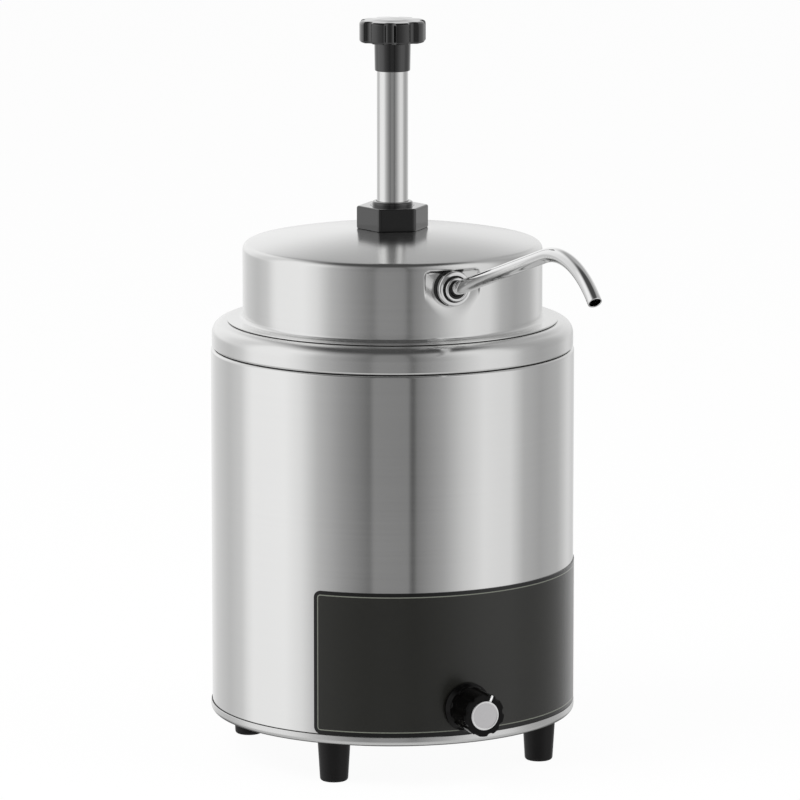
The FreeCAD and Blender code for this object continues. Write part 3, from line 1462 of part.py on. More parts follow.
def make_valve():
    """The valve body with both ball chambers, its gasket, the ball pins and the two balls."""
    chamber = d.ball_radius + d.ball_clearance
    main = turned("valve_main", rounded([
        (ZERO, z.intake),
        (d.valve_radius, z.intake, d.valve_round),
        (d.valve_radius, z.valve_top, d.valve_round * VALVE_TOP_ROUND_SHARE),
        (ZERO, z.valve_top),
    ]))
    boss_base = z.intake + d.web_base
    boss = disc("valve_boss", d.boss_radius, z.boss_top - boss_base, y=-d.riser_offset, base=boss_base)
    web = block("valve_web", d.web_width, d.riser_offset, d.web_height, ZERO, -(d.riser_offset * HALF_SHARE), boss_base)
    solid = joined("valve_solid", [main, boss, web])
    suction = turned("suction_way", rounded([
        (ZERO, z.intake - d.suction_port),
        (d.ball_seat_radius, z.intake - d.suction_port),
        (d.ball_seat_radius, z.suction_seat),
        (chamber, z.suction_seat + (chamber - d.ball_seat_radius)),
        (chamber, z.throat_bottom),
        (d.valve_throat_radius, z.throat_bottom),
        (d.valve_throat_radius, z.cylinder_bottom - d.valve_gasket),
        (socket_radius, z.cylinder_bottom - d.valve_gasket),
        (socket_radius, z.valve_top + d.valve_gasket),
        (ZERO, z.valve_top + d.valve_gasket),
    ]))
    passage = disc("valve_passage", d.passage_radius, d.riser_offset)
    place(passage, ZERO, ZERO, z.passage, OUTWARD)
    discharge = turned("discharge_way", rounded([
        (ZERO, z.throat_bottom),
        (d.ball_seat_radius, z.throat_bottom),
        (d.ball_seat_radius, z.discharge_seat),
        (chamber, z.discharge_seat + (chamber - d.ball_seat_radius)),
        (chamber, z.riser_bottom),
        (d.riser_radius + d.socket_clearance, z.riser_bottom),
        (d.riser_radius + d.socket_clearance, z.boss_top + d.riser_socket),
        (ZERO, z.boss_top + d.riser_socket),
    ]))
    place(discharge, ZERO, -d.riser_offset)
    slots = []
    for index, turn in enumerate((0, 90)):
        slot = block(f"intake_slot_{index}", d.valve_radius * 3, d.intake_slot_width, d.intake_slot_height * 2,
                     ZERO, ZERO, z.intake - d.intake_slot_height)
        if turn:
            half_length, half_width = d.valve_radius * 1.5, d.intake_slot_width * HALF_SHARE
            place(slot, half_width, -half_length, z.intake - d.intake_slot_height, Rotation(Vector(0, 0, 1), 90))
        slots.append(slot)
    reach = d.pin_length * HALF_SHARE
    pin_holes, pins = [], []
    for index, (y, ball_height) in enumerate(((ZERO, z.suction_ball), (-d.riser_offset, z.discharge_ball))):
        height = ball_height + d.ball_radius + d.ball_lift + d.pin_gap + d.pin_radius
        hole = disc(f"pin_hole_{index}", d.pin_radius + d.socket_clearance, d.pin_length)
        pin_holes.append(place(hole, -reach, y, height, ALONG_X))
        pins.append(place(disc(f"ball_pin_{index}", d.pin_radius, d.pin_length), -reach, y, height, ALONG_X))
    drilled("valve_body", solid, [suction, passage, discharge, *slots, *pin_holes])
    group("ball_pins", pins)
    ring("valve_gasket_ring", d.cylinder_bore, socket_radius - d.socket_clearance, d.valve_gasket,
         z.cylinder_bottom - d.valve_gasket)
    ball("suction_ball", d.ball_radius, ZERO, ZERO, z.suction_ball + d.socket_clearance)
    ball("discharge_ball", d.ball_radius, ZERO, -d.riser_offset, z.discharge_ball + d.socket_clearance)


def make_everything():
    """Build every piece, from the feet up and then down the pump."""
    make_vessel()
    make_jacket()
    make_gasket()
    make_panel()
    make_pan()
    make_feet()
    make_brackets()
    make_heater()
    make_sensors()
    plate_back = make_thermostat()
    make_dial(plate_back)
    make_wiring(plate_back)
    make_gland()
    make_lid()
    body_start, socket = make_fitting()
    make_spout(body_start, socket)
    make_riser(body_start, socket)
    make_collar()
    make_pump_body()
    make_spring()
    make_plunger()
    make_valve()


NODES = [
    "outer_jacket", "front_panel", "base_pan", "rubber_feet", "foot_screws", "foot_nuts", "pan_brackets",
    "pan_screws", "water_vessel", "rim_gasket", "insulation_sleeve", "heat_spreader", "heating_element",
    "element_clamp", "clamp_stud", "clamp_nut", "sensing_bulb", "bulb_clip", "capillary_tube",
    "thermal_cutout", "thermostat_body", "thermostat_screws", "thermostat_bracket",
    "terminal_block", "terminal_screws", "heater_leads", "cord_gland", "gland_nut", "control_dial",
    "dial_shaft", "dial_cap", "dial_pointer", "pump_lid", "spout_gasket", "spout_ring_nut", "spout_ferrule",
    "spout_bushing", "spout_lock_nut", "spout_tube", "riser_tube", "riser_nut", "lock_collar",
    "collar_ring", "wiper_seal", "pump_head", "pump_cylinder", "spring_seat", "return_spring", "plunger_tube",
    "plunger_knob", "plunger_foot", "piston_rod", "piston", "piston_seal", "piston_nut", "valve_body",
    "valve_gasket_ring", "ball_pins", "suction_ball", "discharge_ball",
]

make_everything()
doc.recompute()
for thing in doc.Objects:
    if any(word in thing.State for word in ("Invalid", "Error")):
        raise RuntimeError(f"{thing.Name} failed: {thing.State}")
for cut in cuts:
    if cut.Base.Shape.Volume - cut.Shape.Volume < 1e-6:
        raise RuntimeError(f"{cut.Name} took nothing away")
for name in NODES:
    piece = doc.getObject(name)
    shape = piece.Shape
    if shape.isNull() or not shape.isValid() or not shape.Solids:
        raise RuntimeError(f"{name} has no valid solid")
    shape.exportStep(f"parts/{name}.step")
print(f"{len(NODES)} pieces written")
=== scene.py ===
"""Looks of a round countertop topping warmer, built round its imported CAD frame.

The frame is in metres: +Z up, the front towards -Y, the origin under the body's axis. Sizes that are kept as
fields are millimetres, and angles that are kept as fields are degrees.
"""

import logging
import math
from dataclasses import dataclass
from enum import Enum
from typing import Callable, Iterable, Protocol, Sequence

import bmesh
import bpy
from mathutils import Matrix, Vector

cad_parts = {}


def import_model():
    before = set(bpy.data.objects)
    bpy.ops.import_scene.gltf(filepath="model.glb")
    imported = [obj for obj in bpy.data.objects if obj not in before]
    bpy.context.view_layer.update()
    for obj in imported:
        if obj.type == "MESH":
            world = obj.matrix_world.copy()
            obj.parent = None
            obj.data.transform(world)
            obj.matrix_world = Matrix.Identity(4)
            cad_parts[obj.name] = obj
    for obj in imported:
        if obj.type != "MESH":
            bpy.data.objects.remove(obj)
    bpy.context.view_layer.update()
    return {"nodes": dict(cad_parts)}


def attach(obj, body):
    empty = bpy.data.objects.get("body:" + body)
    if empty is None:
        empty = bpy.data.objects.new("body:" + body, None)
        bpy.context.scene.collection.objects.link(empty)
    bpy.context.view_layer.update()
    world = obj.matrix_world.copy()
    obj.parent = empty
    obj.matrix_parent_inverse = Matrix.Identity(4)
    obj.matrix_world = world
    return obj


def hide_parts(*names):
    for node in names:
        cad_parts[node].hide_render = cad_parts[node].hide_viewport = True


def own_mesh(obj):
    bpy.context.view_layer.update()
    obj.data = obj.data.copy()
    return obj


LOG = logging.getLogger("warmer")
MM = 0.001
Corner = tuple[float, ...]
Point = tuple[float, float]
Colour = tuple[float, float, float]
Reshape = Callable[[float, float, float], float]
Input = float | Sequence[float] | bpy.types.NodeSocket
UP = Vector((0, 0, 1))
FRONT = Vector((0, -1, 0))
BACK = Vector((0, 1, 0))

# Rounding of a corner that names none, the turn below which a corner is straight, and how much of a side's
# length a rounding may take
SLIGHT_ROUNDING = 0.06
STRAIGHT = 0.01
SIDE_SHARE = 0.499

# Sides of the turned pieces: the body, the parts on it, the small fittings, the feet and spout, the rings
BODY_SIDES = 288
PART_SIDES = 128
SMALL_SIDES = 96
SLIM_SIDES = 72
RING_SIDES = 192

# Edges are sharp from these angles, on built pieces and on the nodes that keep their shape
CREASE = 38
NODE_CREASE = 28

# How far a notch's edges are blended into the rim that it cuts
NOTCH_BLEND = 1.6

# Heights that differ by less are the same
SAME = 0.01


# Outlines and the meshes that are turned from them


def rounded_corner(here: Vector, before: Vector, after: Vector, rounding: float, steps: int) -> list[Point]:
    """Round one corner of an outline.

    Args:
        here: The corner.
        before: From the corner to the one before it.
        after: From the corner to the one after it.
        rounding: Radius of the rounding in millimetres.
        steps: Pieces in a quarter turn.

    Returns:
        The rounding's points, or the corner alone where its sides run on straight.
    """
    turn = math.pi - before.angle(after)
    if turn < STRAIGHT:
        return [(here.x, here.y)]
    room = min(before.length, after.length) * SIDE_SHARE
    reach = min(rounding * math.tan(turn / 2), room)
    radius = reach / math.tan(turn / 2)
    first, last = here + before.normalized() * reach, here + after.normalized() * reach
    inward = (before.normalized() + after.normalized()).normalized()
    centre = here + inward * (radius / math.cos(turn / 2))
    start, finish = first - centre, last - centre
    sweep = start.angle_signed(finish)
    pieces = max(2, math.ceil(steps * abs(sweep) / (math.pi / 2)))
    run = []
    for step in range(pieces + 1):
        spoke = start.copy()
        spoke.rotate(Matrix.Rotation(-sweep * step / pieces, 2))
        run.append(tuple(centre + spoke))
    return run


def rounded(
    corners: Sequence[Corner],
    steps: int = 6,
    guard: float = 0.3,
    closed: bool = True,
) -> list[Point]:
    """Round the corners of an outline and add a guard point beside each long side's ends.

    Args:
        corners: (radius, height) or (radius, height, rounding) in millimetres, in order.
        steps: Pieces in a quarter turn of rounding.
        guard: How far from a corner the guard points stand, in millimetres.
        closed: Whether the last corner joins the first.

    Returns:
        The outline's points in millimetres.
    """
    count = len(corners)
    runs: list[list[Point]] = []
    for index, corner in enumerate(corners):
        here = Vector(corner[:2])
        rounding = corner[2] if len(corner) > 2 else SLIGHT_ROUNDING
        end = not closed and index in (0, count - 1)
        if end or rounding <= 0 or here.x <= 0:
            runs.append([(here.x, here.y)])
            continue
        before = Vector(corners[index - 1][:2]) - here
        after = Vector(corners[(index + 1) % count][:2]) - here
        runs.append(rounded_corner(here, before, after, rounding, steps))
    points: list[Point] = []
    for index, run in enumerate(runs):
        points.extend(run)
        if not closed and index == count - 1:
            break
        start, finish = Vector(run[-1]), Vector(runs[(index + 1) % count][0])
        side = finish - start
        if side.length > guard * 3:
            step = side.normalized() * guard
            points.append(tuple(start + step))
            points.append(tuple(finish - step))
    return points


class Axis(Protocol):
    """What an outline is turned about."""

    def at(self, height: float) -> tuple[Vector, Vector, Vector]:
        """Origin and the two directions across the axis at a height, in metres."""


@dataclass(frozen=True)
class StraightAxis:
    """A straight axis from a base point."""

    base: Vector
    along: Vector
    across: Vector

    def at(self, height: float) -> tuple[Vector, Vector, Vector]:
        """Origin and the two directions across the axis at a height, in metres."""
        return self.base + self.along * height, self.across, self.along.cross(self.across)


@dataclass(frozen=True)
class BentAxis:
    """Straight runs in the plane x = 0, joined by tangent arcs.

    Attributes:
        corners: (y, z) of the route's corners in millimetres.
        bends: Radius of the arc at each inner corner in millimetres.
    """

    corners: tuple[Point, ...]
    bends: tuple[float, ...]

    def _pieces(self) -> list[tuple[float, Vector, Vector, float]]:
        """Split the route into its runs and arcs.

        Returns:
            The length, start, direction and signed curvature of each, in millimetres.
        """
        pieces = []
        start = Vector(self.corners[0])
        for corner, after, bend in zip(self.corners[1:-1], self.corners[2:], self.bends):
            came = (Vector(corner) - start).normalized()
            goes = (Vector(after) - Vector(corner)).normalized()
            turn = came.angle_signed(goes)
            reach = bend * math.tan(abs(turn) / 2)
            first = Vector(corner) - came * reach
            pieces.append(((first - start).length, start, came, 0.0))
            pieces.append((bend * abs(turn), first, came, -math.copysign(1 / bend, turn)))
            start = Vector(corner) + goes * reach
        goes = (Vector(self.corners[-1]) - start).normalized()
        pieces.append(((Vector(self.corners[-1]) - start).length, start, goes, 0.0))
        return pieces

    def stations(self, run_step: float, bend_step: float) -> list[float]:
        """Place the rings of a tube along the route.

        Args:
            run_step: Widest step along the straight runs in millimetres.
            bend_step: Widest step along the arcs in millimetres.

        Returns:
            Distances along the route in millimetres.
        """
        marks, done = [0.0], 0.0
        for span, _, _, curve in self._pieces():
            count = max(1, math.ceil(span / (bend_step if curve else run_step)))
            marks.extend(done + span * (step + 1) / count for step in range(count))
            done += span
        return marks

    def at(self, height: float) -> tuple[Vector, Vector, Vector]:
        """Follow the route.

        Args:
            height: Distance along the route in metres.

        Returns:
            The point there and the two directions across the route.
        """
        left = height / MM
        pieces = self._pieces()
        for index, (span, start, way, curve) in enumerate(pieces):
            if left <= span or index == len(pieces) - 1:
                break
            left -= span
        if curve:
            angle = left * curve
            side = Vector((-way.y, way.x))
            spot = start + way * (math.sin(angle) / curve) + side * ((1 - math.cos(angle)) / curve)
            way = way * math.cos(angle) + side * math.sin(angle)
        else:
            spot = start + way * left
        forward = Vector((0, way.x, way.y))
        return Vector((0, spot.x, spot.y)) * MM, Vector((1, 0, 0)), forward.cross(Vector((1, 0, 0)))


def even(sides: int) -> list[float]:
    """Angles evenly round a full turn."""
    return [2 * math.pi * side / sides for side in range(sides)]


def new_object(
    name: str,
    verts: Sequence[Sequence[float]],
    faces: Sequence[Sequence[int]],
    marks: Sequence[Point] | None = None,
) -> bpy.types.Object:
    """Make a mesh object.

    Args:
        name: The piece's name.
        verts: Its points in metres.
        faces: The points of each face, by their place in verts.
        marks: Each point's place on the sheet that a finish is printed on, where there is one.

    Returns:
        The new object, smooth, with its doubles merged and its normals facing out.
    """
    mesh = bpy.data.meshes.new(name)
    mesh.from_pydata([tuple(vert) for vert in verts], [], [tuple(face) for face in faces])
    if marks:
        layer = mesh.uv_layers.new(name="sheet")
        for loop in mesh.loops:
            layer.data[loop.index].uv = marks[loop.vertex_index]
    tidy(mesh)
    thing = bpy.data.objects.new(name, mesh)
    bpy.context.scene.collection.objects.link(thing)
    return thing


def tidy(mesh: bpy.types.Mesh) -> None:
    """Merge a mesh's doubles, face its normals outwards, and shade it smooth but for its creases.

    Args:
        mesh: The mesh to tidy.
    """
    work = bmesh.new()
    work.from_mesh(mesh)
    bmesh.ops.remove_doubles(work, verts=work.verts, dist=1e-6)
    bmesh.ops.dissolve_degenerate(work, edges=work.edges, dist=1e-7)
    bmesh.ops.recalc_face_normals(work, faces=work.faces)
    work.to_mesh(mesh)
    work.free()
    mesh.shade_smooth()
    mesh.set_sharp_from_angle(angle=math.radians(CREASE))
    mesh.update()


def turned(
    name: str,
    outline: Sequence[Point],
    axes: Sequence[Axis],
    angles: Sequence[float],
    reshape: Reshape | None = None,
) -> bpy.types.Object:
    """Turn a closed outline about one or more axes.

    Args:
        name: The piece's name.
        outline: (radius, height) in millimetres.
        axes: What it is turned about, once for each.
        angles: Where its sides stand, in radians from the axis's first direction.
        reshape: Gives the radius in millimetres for a radius, angle and height.

    Returns:
        The new object.
    """
    verts, faces = [], []
    for axis in axes:
        base = len(verts)
        for radius, height in outline:
            origin, across, third = axis.at(height * MM)
            for angle in angles:
                reach = reshape(radius, angle, height) if reshape else radius
                verts.append(origin + (across * math.cos(angle) + third * math.sin(angle)) * (reach * MM))
        rings, sides = len(outline), len(angles)
        for ring in range(rings):
            low, high = base + ring * sides, base + (ring + 1) % rings * sides
            for side in range(sides):
                after = (side + 1) % sides
                faces.append((low + side, low + after, high + after, high + side))
    return new_object(name, verts, faces)


def tube_outline(inner: float, outer: float, marks: Sequence[float], lip: float) -> list[Point]:
    """Outline a tube's wall along a route, its ends rounded.

    Args:
        inner: Radius of the bore in millimetres.
        outer: Radius of the tube in millimetres.
        marks: Where the rings stand along the route, in millimetres.
        lip: How far the rounding of the ends reaches, in millimetres.

    Returns:
        The outline's points in millimetres.
    """
    first, last = marks[0], marks[-1]
    arc = [math.pi * step / 8 for step in range(9)]
    middle, half = (inner + outer) / 2, (outer - inner) / 2
    ends = min(lip, half)
    finish = [(middle + half * math.cos(a), last - ends + ends * math.sin(a)) for a in arc]
    start = [(middle - half * math.cos(a), first + ends - ends * math.sin(a)) for a in arc]
    inside = [mark for mark in marks if first + ends * 1.5 < mark < last - ends * 1.5]
    outer_side = [(outer, mark) for mark in inside]
    inner_side = [(inner, mark) for mark in reversed(inside)]
    return [*outer_side, *finish, *inner_side, *start]


def soft_least(first: float, second: float, blend: float) -> float:
    """The lesser of two values, blended where they are close."""
    share = max(blend - abs(first - second), 0.0) / blend
    return min(first, second) - share * share * blend / 4


def notched(radius: float, cutter: float, depth: float, offset: float) -> float:
    """Find the edge of a disc with a round notch.

    Args:
        radius: Radius of the disc in millimetres.
        cutter: Radius of the cutter that makes the notch.
        depth: Depth of the notch.
        offset: Angle from the notch's middle in radians.

    Returns:
        Distance from the disc's middle to its edge there.
    """
    centre = radius + cutter - depth
    inside = cutter * cutter - (centre * math.sin(offset)) ** 2
    if inside <= 0 or math.cos(offset) < 0:
        return radius
    return soft_least(radius, centre * math.cos(offset) - math.sqrt(inside), NOTCH_BLEND)


def nearest_turn(angle: float, count: int, first: float) -> float:
    """Signed angle from the nearest of some evenly spaced directions."""
    pitch = 2 * math.pi / count
    return (angle - first + pitch / 2) % pitch - pitch / 2


# Finishes


BRIGHT_RIM = (0.97, 0.97, 0.97)


class Grain(Enum):
    """Which way a metal's fine lines run."""

    ROUND = "round the axis"
    ALONG = "along the axis"
    TURNED = "rings about the front"
    NONE = "no lines"


class Nodes:
    """Short ways to add and join the nodes of a material or of the world."""

    def __init__(self, owner: bpy.types.Material | bpy.types.World) -> None:
        """Start with none of the owner's nodes.

        Args:
            owner: The material or world.
        """
        owner.use_nodes = True
        self.nodes = owner.node_tree.nodes
        self.links = owner.node_tree.links
        self.nodes.clear()

    def add(
        self, kind: str, inputs: dict[str | int, Input] | None = None, **settings: object
    ) -> bpy.types.Node:
        """Add a node.

        Args:
            kind: The node's type.
            inputs: What its inputs are set or linked to, by name or number.
            settings: The node's own settings.

        Returns:
            The new node.
        """
        node = self.nodes.new(kind)
        for name, value in settings.items():
            setattr(node, name, value)
        for key, value in (inputs or {}).items():
            self.feed(node, key, value)
        return node

    def feed(self, node: bpy.types.Node, key: str | int, value: Input) -> None:
        """Set one input, or link it where the value is a socket.

        Args:
            node: The node.
            key: The input's name or number.
            value: The value, or the socket that gives it.
        """
        if isinstance(value, bpy.types.NodeSocket):
            self.links.new(value, node.inputs[key])
        else:
            node.inputs[key].default_value = value

    def math(self, operation: str, *values: Input) -> bpy.types.NodeSocket:
        """Give a math node's result."""
        return self.add("ShaderNodeMath", dict(enumerate(values)), operation=operation).outputs[0]

    def mix(self, share: Input, first: Input, second: Input, kind: str = "MIX") -> bpy.types.NodeSocket:
        """Mix two colours.

        Args:
            share: How much of the second there is.
            first: The first colour, or its grey level.
            second: The second colour, or its grey level.
            kind: How the second goes over the first.

        Returns:
            The mixed colour.
        """
        node = self.add("ShaderNodeMix", {0: share}, data_type="RGBA", blend_type=kind)
        for socket, value in ((6, first), (7, second)):
            if isinstance(value, float):
                value = (value, value, value)
            self.feed(node, socket, (*value, 1) if isinstance(value, tuple) else value)
        return node.outputs[2]


class Shader(Nodes):
    """A material's nodes, with what the finishes share."""

    def __init__(self, name: str) -> None:
        """Start a material with a Principled shader and an output.

        Args:
            name: The material's name.
        """
        self.material = bpy.data.materials.new(name)
        super().__init__(self.material)
        self.surface = self.add("ShaderNodeBsdfPrincipled")
        self.output = self.add("ShaderNodeOutputMaterial", {0: self.surface.outputs[0]})

    def place(self, scale: Sequence[float], centre: Sequence[float] = (0, 0, 0)) -> bpy.types.NodeSocket:
        """Give the object's own coordinates, scaled.

        Args:
            scale: Scale along each axis.
            centre: What they are counted from, in metres.

        Returns:
            The coordinates.
        """
        coordinates = self.add("ShaderNodeTexCoord")
        moved = [-c * s for c, s in zip(centre, scale)]
        inputs = {"Vector": coordinates.outputs["Object"], "Scale": scale, "Location": moved}
        return self.add("ShaderNodeMapping", inputs).outputs[0]

    def noise(self, vector: bpy.types.NodeSocket, scale: float, detail: float = 3) -> bpy.types.NodeSocket:
        """Give a noise texture's value."""
        inputs = {"Vector": vector, "Scale": scale, "Detail": detail}
        return self.add("ShaderNodeTexNoise", inputs).outputs[0]

    def span(
        self,
        value: Input,
        low: float,
        high: float,
        start: float = 0.3,
        end: float = 0.7,
    ) -> bpy.types.NodeSocket:
        """Map a value from one span to another.

        Args:
            value: The value.
            low: What the start becomes.
            high: What the end becomes.
            start: Start of the value's span.
            end: End of the value's span.

        Returns:
            The mapped value.
        """
        inputs = {"Value": value, "From Min": start, "From Max": end, "To Min": low, "To Max": high}
        return self.add("ShaderNodeMapRange", inputs).outputs[0]

    def bump(self, height: bpy.types.NodeSocket, depth: float, strength: float = 1) -> None:
        """Roughen the surface.

        Args:
            height: Its height, from 0 to 1.
            depth: What a height of 1 is, in metres.
            strength: How strongly it shows.
        """
        inputs = {"Height": height, "Distance": depth, "Strength": strength}
        self.feed(self.surface, "Normal", self.add("ShaderNodeBump", inputs).outputs[0])

    def set(self, **values: Input) -> None:
        """Set or link the Principled shader's inputs.

        Args:
            values: What each input gets, its name with underscores for spaces.
        """
        for key, value in values.items():
            if isinstance(value, tuple):
                value = (*value, 1)
            self.feed(self.surface, key.replace("_", " "), value)


@dataclass(frozen=True)
class Metal:
    """Polished, brushed or plated metal with its drawing lines, wipe marks and slight tone changes.

    Attributes:
        name: The material's name.
        colour: Its reflected colour.
        roughness: Its mean roughness.
        grain: Which way its lines run.
        stretch: How far highlights are drawn out across the lines.
        lines: Scale of the lines across them.
        line_depth: Depth of the lines in metres.
        mottle: How much darker its dark patches are.
        centre: What turned rings run round, in metres.
        bright_from: Radius in metres from which a turned face has a bright rim.
    """

    name: str
    colour: Colour
    roughness: float
    grain: Grain = Grain.ROUND
    stretch: float = 0.5
    lines: float = 900.0
    line_depth: float = 0.0000005
    mottle: float = 0.02
    centre: tuple[float, float, float] = (0, 0, 0)
    bright_from: float = 0.0

    def material(self) -> bpy.types.Material:
        """Build the node material.

        Returns:
            The new material.
        """
        shader = Shader(self.name)
        wipe = shader.noise(shader.place((9, 9, 14)), 1.0, 4)
        if self.grain is Grain.TURNED:
            spot = shader.place((1, 1, 1), centre=self.centre)
            reach = shader.add("ShaderNodeVectorMath", {0: spot}, operation="LENGTH").outputs["Value"]
            rings = {"W": shader.math("MULTIPLY", reach, self.lines), "Scale": 1.0, "Detail": 2}
            fine = shader.add("ShaderNodeTexNoise", rings, noise_dimensions="1D").outputs[0]
            rim = shader.span(reach, 0, 1, self.bright_from - 0.0002, self.bright_from + 0.0001)
        else:
            scale = {
                Grain.ROUND: (7, 7, self.lines),
                Grain.ALONG: (self.lines, self.lines, 7),
                Grain.NONE: (160, 160, 160),
            }
            fine = shader.noise(shader.place(scale[self.grain]), 1.0, 2)
        dark = tuple(channel * (1 - self.mottle) for channel in self.colour)
        tone = shader.math("MULTIPLY_ADD", fine, 0.5, shader.math("MULTIPLY", wipe, 0.5))
        worn = shader.span(wipe, -0.015, 0.02)
        rough = shader.math("ADD", worn, shader.span(fine, self.roughness - 0.01, self.roughness + 0.01))
        shade = shader.mix(shader.span(tone, 0, 1, 0.35, 0.65), dark, self.colour)
        if self.bright_from:
            shade = shader.mix(rim, shade, BRIGHT_RIM)
        shader.set(
            Base_Color=shade,
            Metallic=1.0,
            Roughness=rough,
            Anisotropic=self.stretch,
            Anisotropic_Rotation=0.25 if self.grain is Grain.ROUND else 0.0,
        )
        if self.stretch:
            tangent = shader.add("ShaderNodeTangent", direction_type="RADIAL", axis="Z")
            shader.set(Tangent=tangent.outputs[0])
        shader.bump(fine, self.line_depth, 0.6)
        return shader.material


@dataclass(frozen=True)
class Moulding:
    """Moulded plastic or rubber with its grain, handling marks and small tone changes.

    Attributes:
        name: The material's name.
        colour: Its colour.
        roughness: Its mean roughness.
        gloss_index: Index of refraction of its skin.
        coat: Share of a second, glossier skin.
        grain_scale: Scale of its moulded grain.
        grain_depth: Depth of the grain in metres.
        dust: How much dust lifts its pale patches.
        pale_lift: Most that a pale patch is lighter than the colour.
    """

    name: str
    colour: Colour
    roughness: float
    gloss_index: float = 1.5
    coat: float = 0.0
    grain_scale: float = 900.0
    grain_depth: float = 0.000006
    dust: float = 0.25
    pale_lift: float = 0.04

    def material(self) -> bpy.types.Material:
        """Build the node material.

        Returns:
            The new material.
        """
        shader = Shader(self.name)
        cloud = shader.noise(shader.place((60, 60, 60)), 1.0, 3)
        fine = shader.noise(shader.place((self.grain_scale,) * 3), 1.0, 2)
        dusty = [channel * 1.3 + (0.35 - channel) * 0.05 * self.dust for channel in self.colour]
        pale = tuple(min(light, channel + self.pale_lift) for light, channel in zip(dusty, self.colour))
        shader.set(
            Base_Color=shader.mix(shader.span(cloud, 0, 1), self.colour, pale),
            Roughness=shader.span(cloud, self.roughness * 0.85, self.roughness * 1.2),
            IOR=self.gloss_index,
            Coat_Weight=self.coat,
            Coat_Roughness=0.05,
        )
        shader.bump(fine, self.grain_depth, 0.7)
        return shader.material


@dataclass(frozen=True)
class PrintedFilm:
    """The dark label film: its field, its darker border and the pale line between them.

    The mesh's map gives the distance round the sheet and up it, in decimetres.

    Attributes:
        name: The material's name.
        field: Colour of the field.
        border: Colour of the border.
        line: Colour of the line.
        width: Width of the sheet in millimetres, as are the sizes below.
        height: Height of the sheet.
        corner: Radius of its corners.
        line_inset: Distance of the line's middle from the edge.
        line_width: Width of the line.
        line_blur: How soft the line's edges are.
    """

    name: str
    field: Colour
    border: Colour
    line: Colour
    width: float
    height: float
    corner: float
    line_inset: float
    line_width: float
    line_blur: float = 0.12

    def material(self) -> bpy.types.Material:
        """Build the node material.

        Returns:
            The new material.
        """
        shader = Shader(self.name)
        layer = shader.add("ShaderNodeUVMap", uv_map="sheet")
        parts = shader.add("ShaderNodeSeparateXYZ", {0: layer.outputs[0]})
        reach = []
        for axis, size in ((0, self.width), (1, self.height)):
            off = shader.math("ABSOLUTE", parts.outputs[axis])
            reach.append(shader.math("SUBTRACT", off, (size / 2 - self.corner) / 100))
        outside = [shader.math("MAXIMUM", value, 0.0) for value in reach]
        squares = [shader.math("MULTIPLY", value, value) for value in outside]
        round_part = shader.math("SQRT", shader.math("ADD", *squares))
        flat_part = shader.math("MINIMUM", shader.math("MAXIMUM", *reach), 0.0)
        edge = shader.math("SUBTRACT", self.corner / 100, shader.math("ADD", round_part, flat_part))
        inset = self.line_inset / 100
        soft = self.line_blur / 100
        half = self.line_width / 200
        off_line = shader.math("ABSOLUTE", shader.math("SUBTRACT", edge, inset))
        on_line = shader.span(off_line, 1, 0, half - soft, half + soft)
        inner = shader.span(edge, 0, 1, inset - soft, inset + soft)
        mottle = shader.noise(shader.place((25, 25, 25)), 1.0, 4)
        grain = shader.noise(shader.place((1500, 1500, 1500)), 1.0, 2)
        warm = tuple(channel * 1.1 for channel in self.field)
        field = shader.mix(shader.span(mottle, 0, 1, 0.1, 0.9), self.field, warm)
        base = shader.mix(inner, self.border, field)
        shader.set(
            Base_Color=shader.mix(on_line, base, self.line),
            Roughness=shader.span(mottle, 0.22, 0.28, 0.1, 0.9),
            IOR=1.48,
            Sheen_Weight=0.45,
            Sheen_Roughness=0.30,
        )
        shader.bump(grain, 0.000004, 0.5)
        return shader.material


@dataclass(frozen=True)
class Fibre:
    """Felted mineral fibre."""

    name: str
    colour: Colour

    def material(self) -> bpy.types.Material:
        """Build the node material.

        Returns:
            The new material.
        """
        shader = Shader(self.name)
        strands = shader.noise(shader.place((180, 180, 900)), 1.0, 6)
        deep = tuple(channel * 0.7 for channel in self.colour)
        shader.set(Base_Color=shader.mix(shader.span(strands, 0, 1), deep, self.colour), Roughness=0.95)
        shader.bump(strands, 0.0008, 1)
        return shader.material


DIAL_FACE = (0.0, -0.1307, 0.0457)
POLISHED = Metal("polished_steel", (0.80, 0.80, 0.795), 0.10, Grain.ROUND, 0.75)
LID_STEEL = Metal("lid_steel", (0.80, 0.80, 0.795), 0.17, Grain.ROUND, 0.6)
PAN_STEEL = Metal("pan_steel", (0.76, 0.76, 0.755), 0.22, Grain.ROUND, 0.4)
TUBE_STEEL = Metal("tube_steel", (0.80, 0.80, 0.795), 0.10, Grain.ALONG, 0.3)
SPOUT_STEEL = Metal("spout_steel", (0.86, 0.86, 0.86), 0.05, Grain.NONE, 0.0)
FITTING_STEEL = Metal("fitting_steel", (0.88, 0.88, 0.88), 0.07, Grain.NONE, 0.0)
PLAIN_STEEL = Metal(
    "plain_steel", (0.62, 0.62, 0.61), 0.32, Grain.ROUND, 0.2, line_depth=0.000002, mottle=0.06
)
ZINC = Metal("zinc_plate", (0.60, 0.61, 0.60), 0.30, Grain.NONE, 0.0, line_depth=0.000006, mottle=0.08)
DARK_SHEATH = Metal("dark_sheath", (0.20, 0.19, 0.17), 0.45, Grain.NONE, 0.0, line_depth=0.00002, mottle=0.2)
ALUMINIUM = Metal("aluminium", (0.78, 0.78, 0.78), 0.35, Grain.ROUND, 0.2, line_depth=0.000003, mottle=0.05)
COPPER = Metal("copper", (0.78, 0.42, 0.27), 0.25, Grain.NONE, 0.0, mottle=0.1)
BRASS = Metal("brass", (0.78, 0.62, 0.30), 0.25, Grain.NONE, 0.0, mottle=0.06)
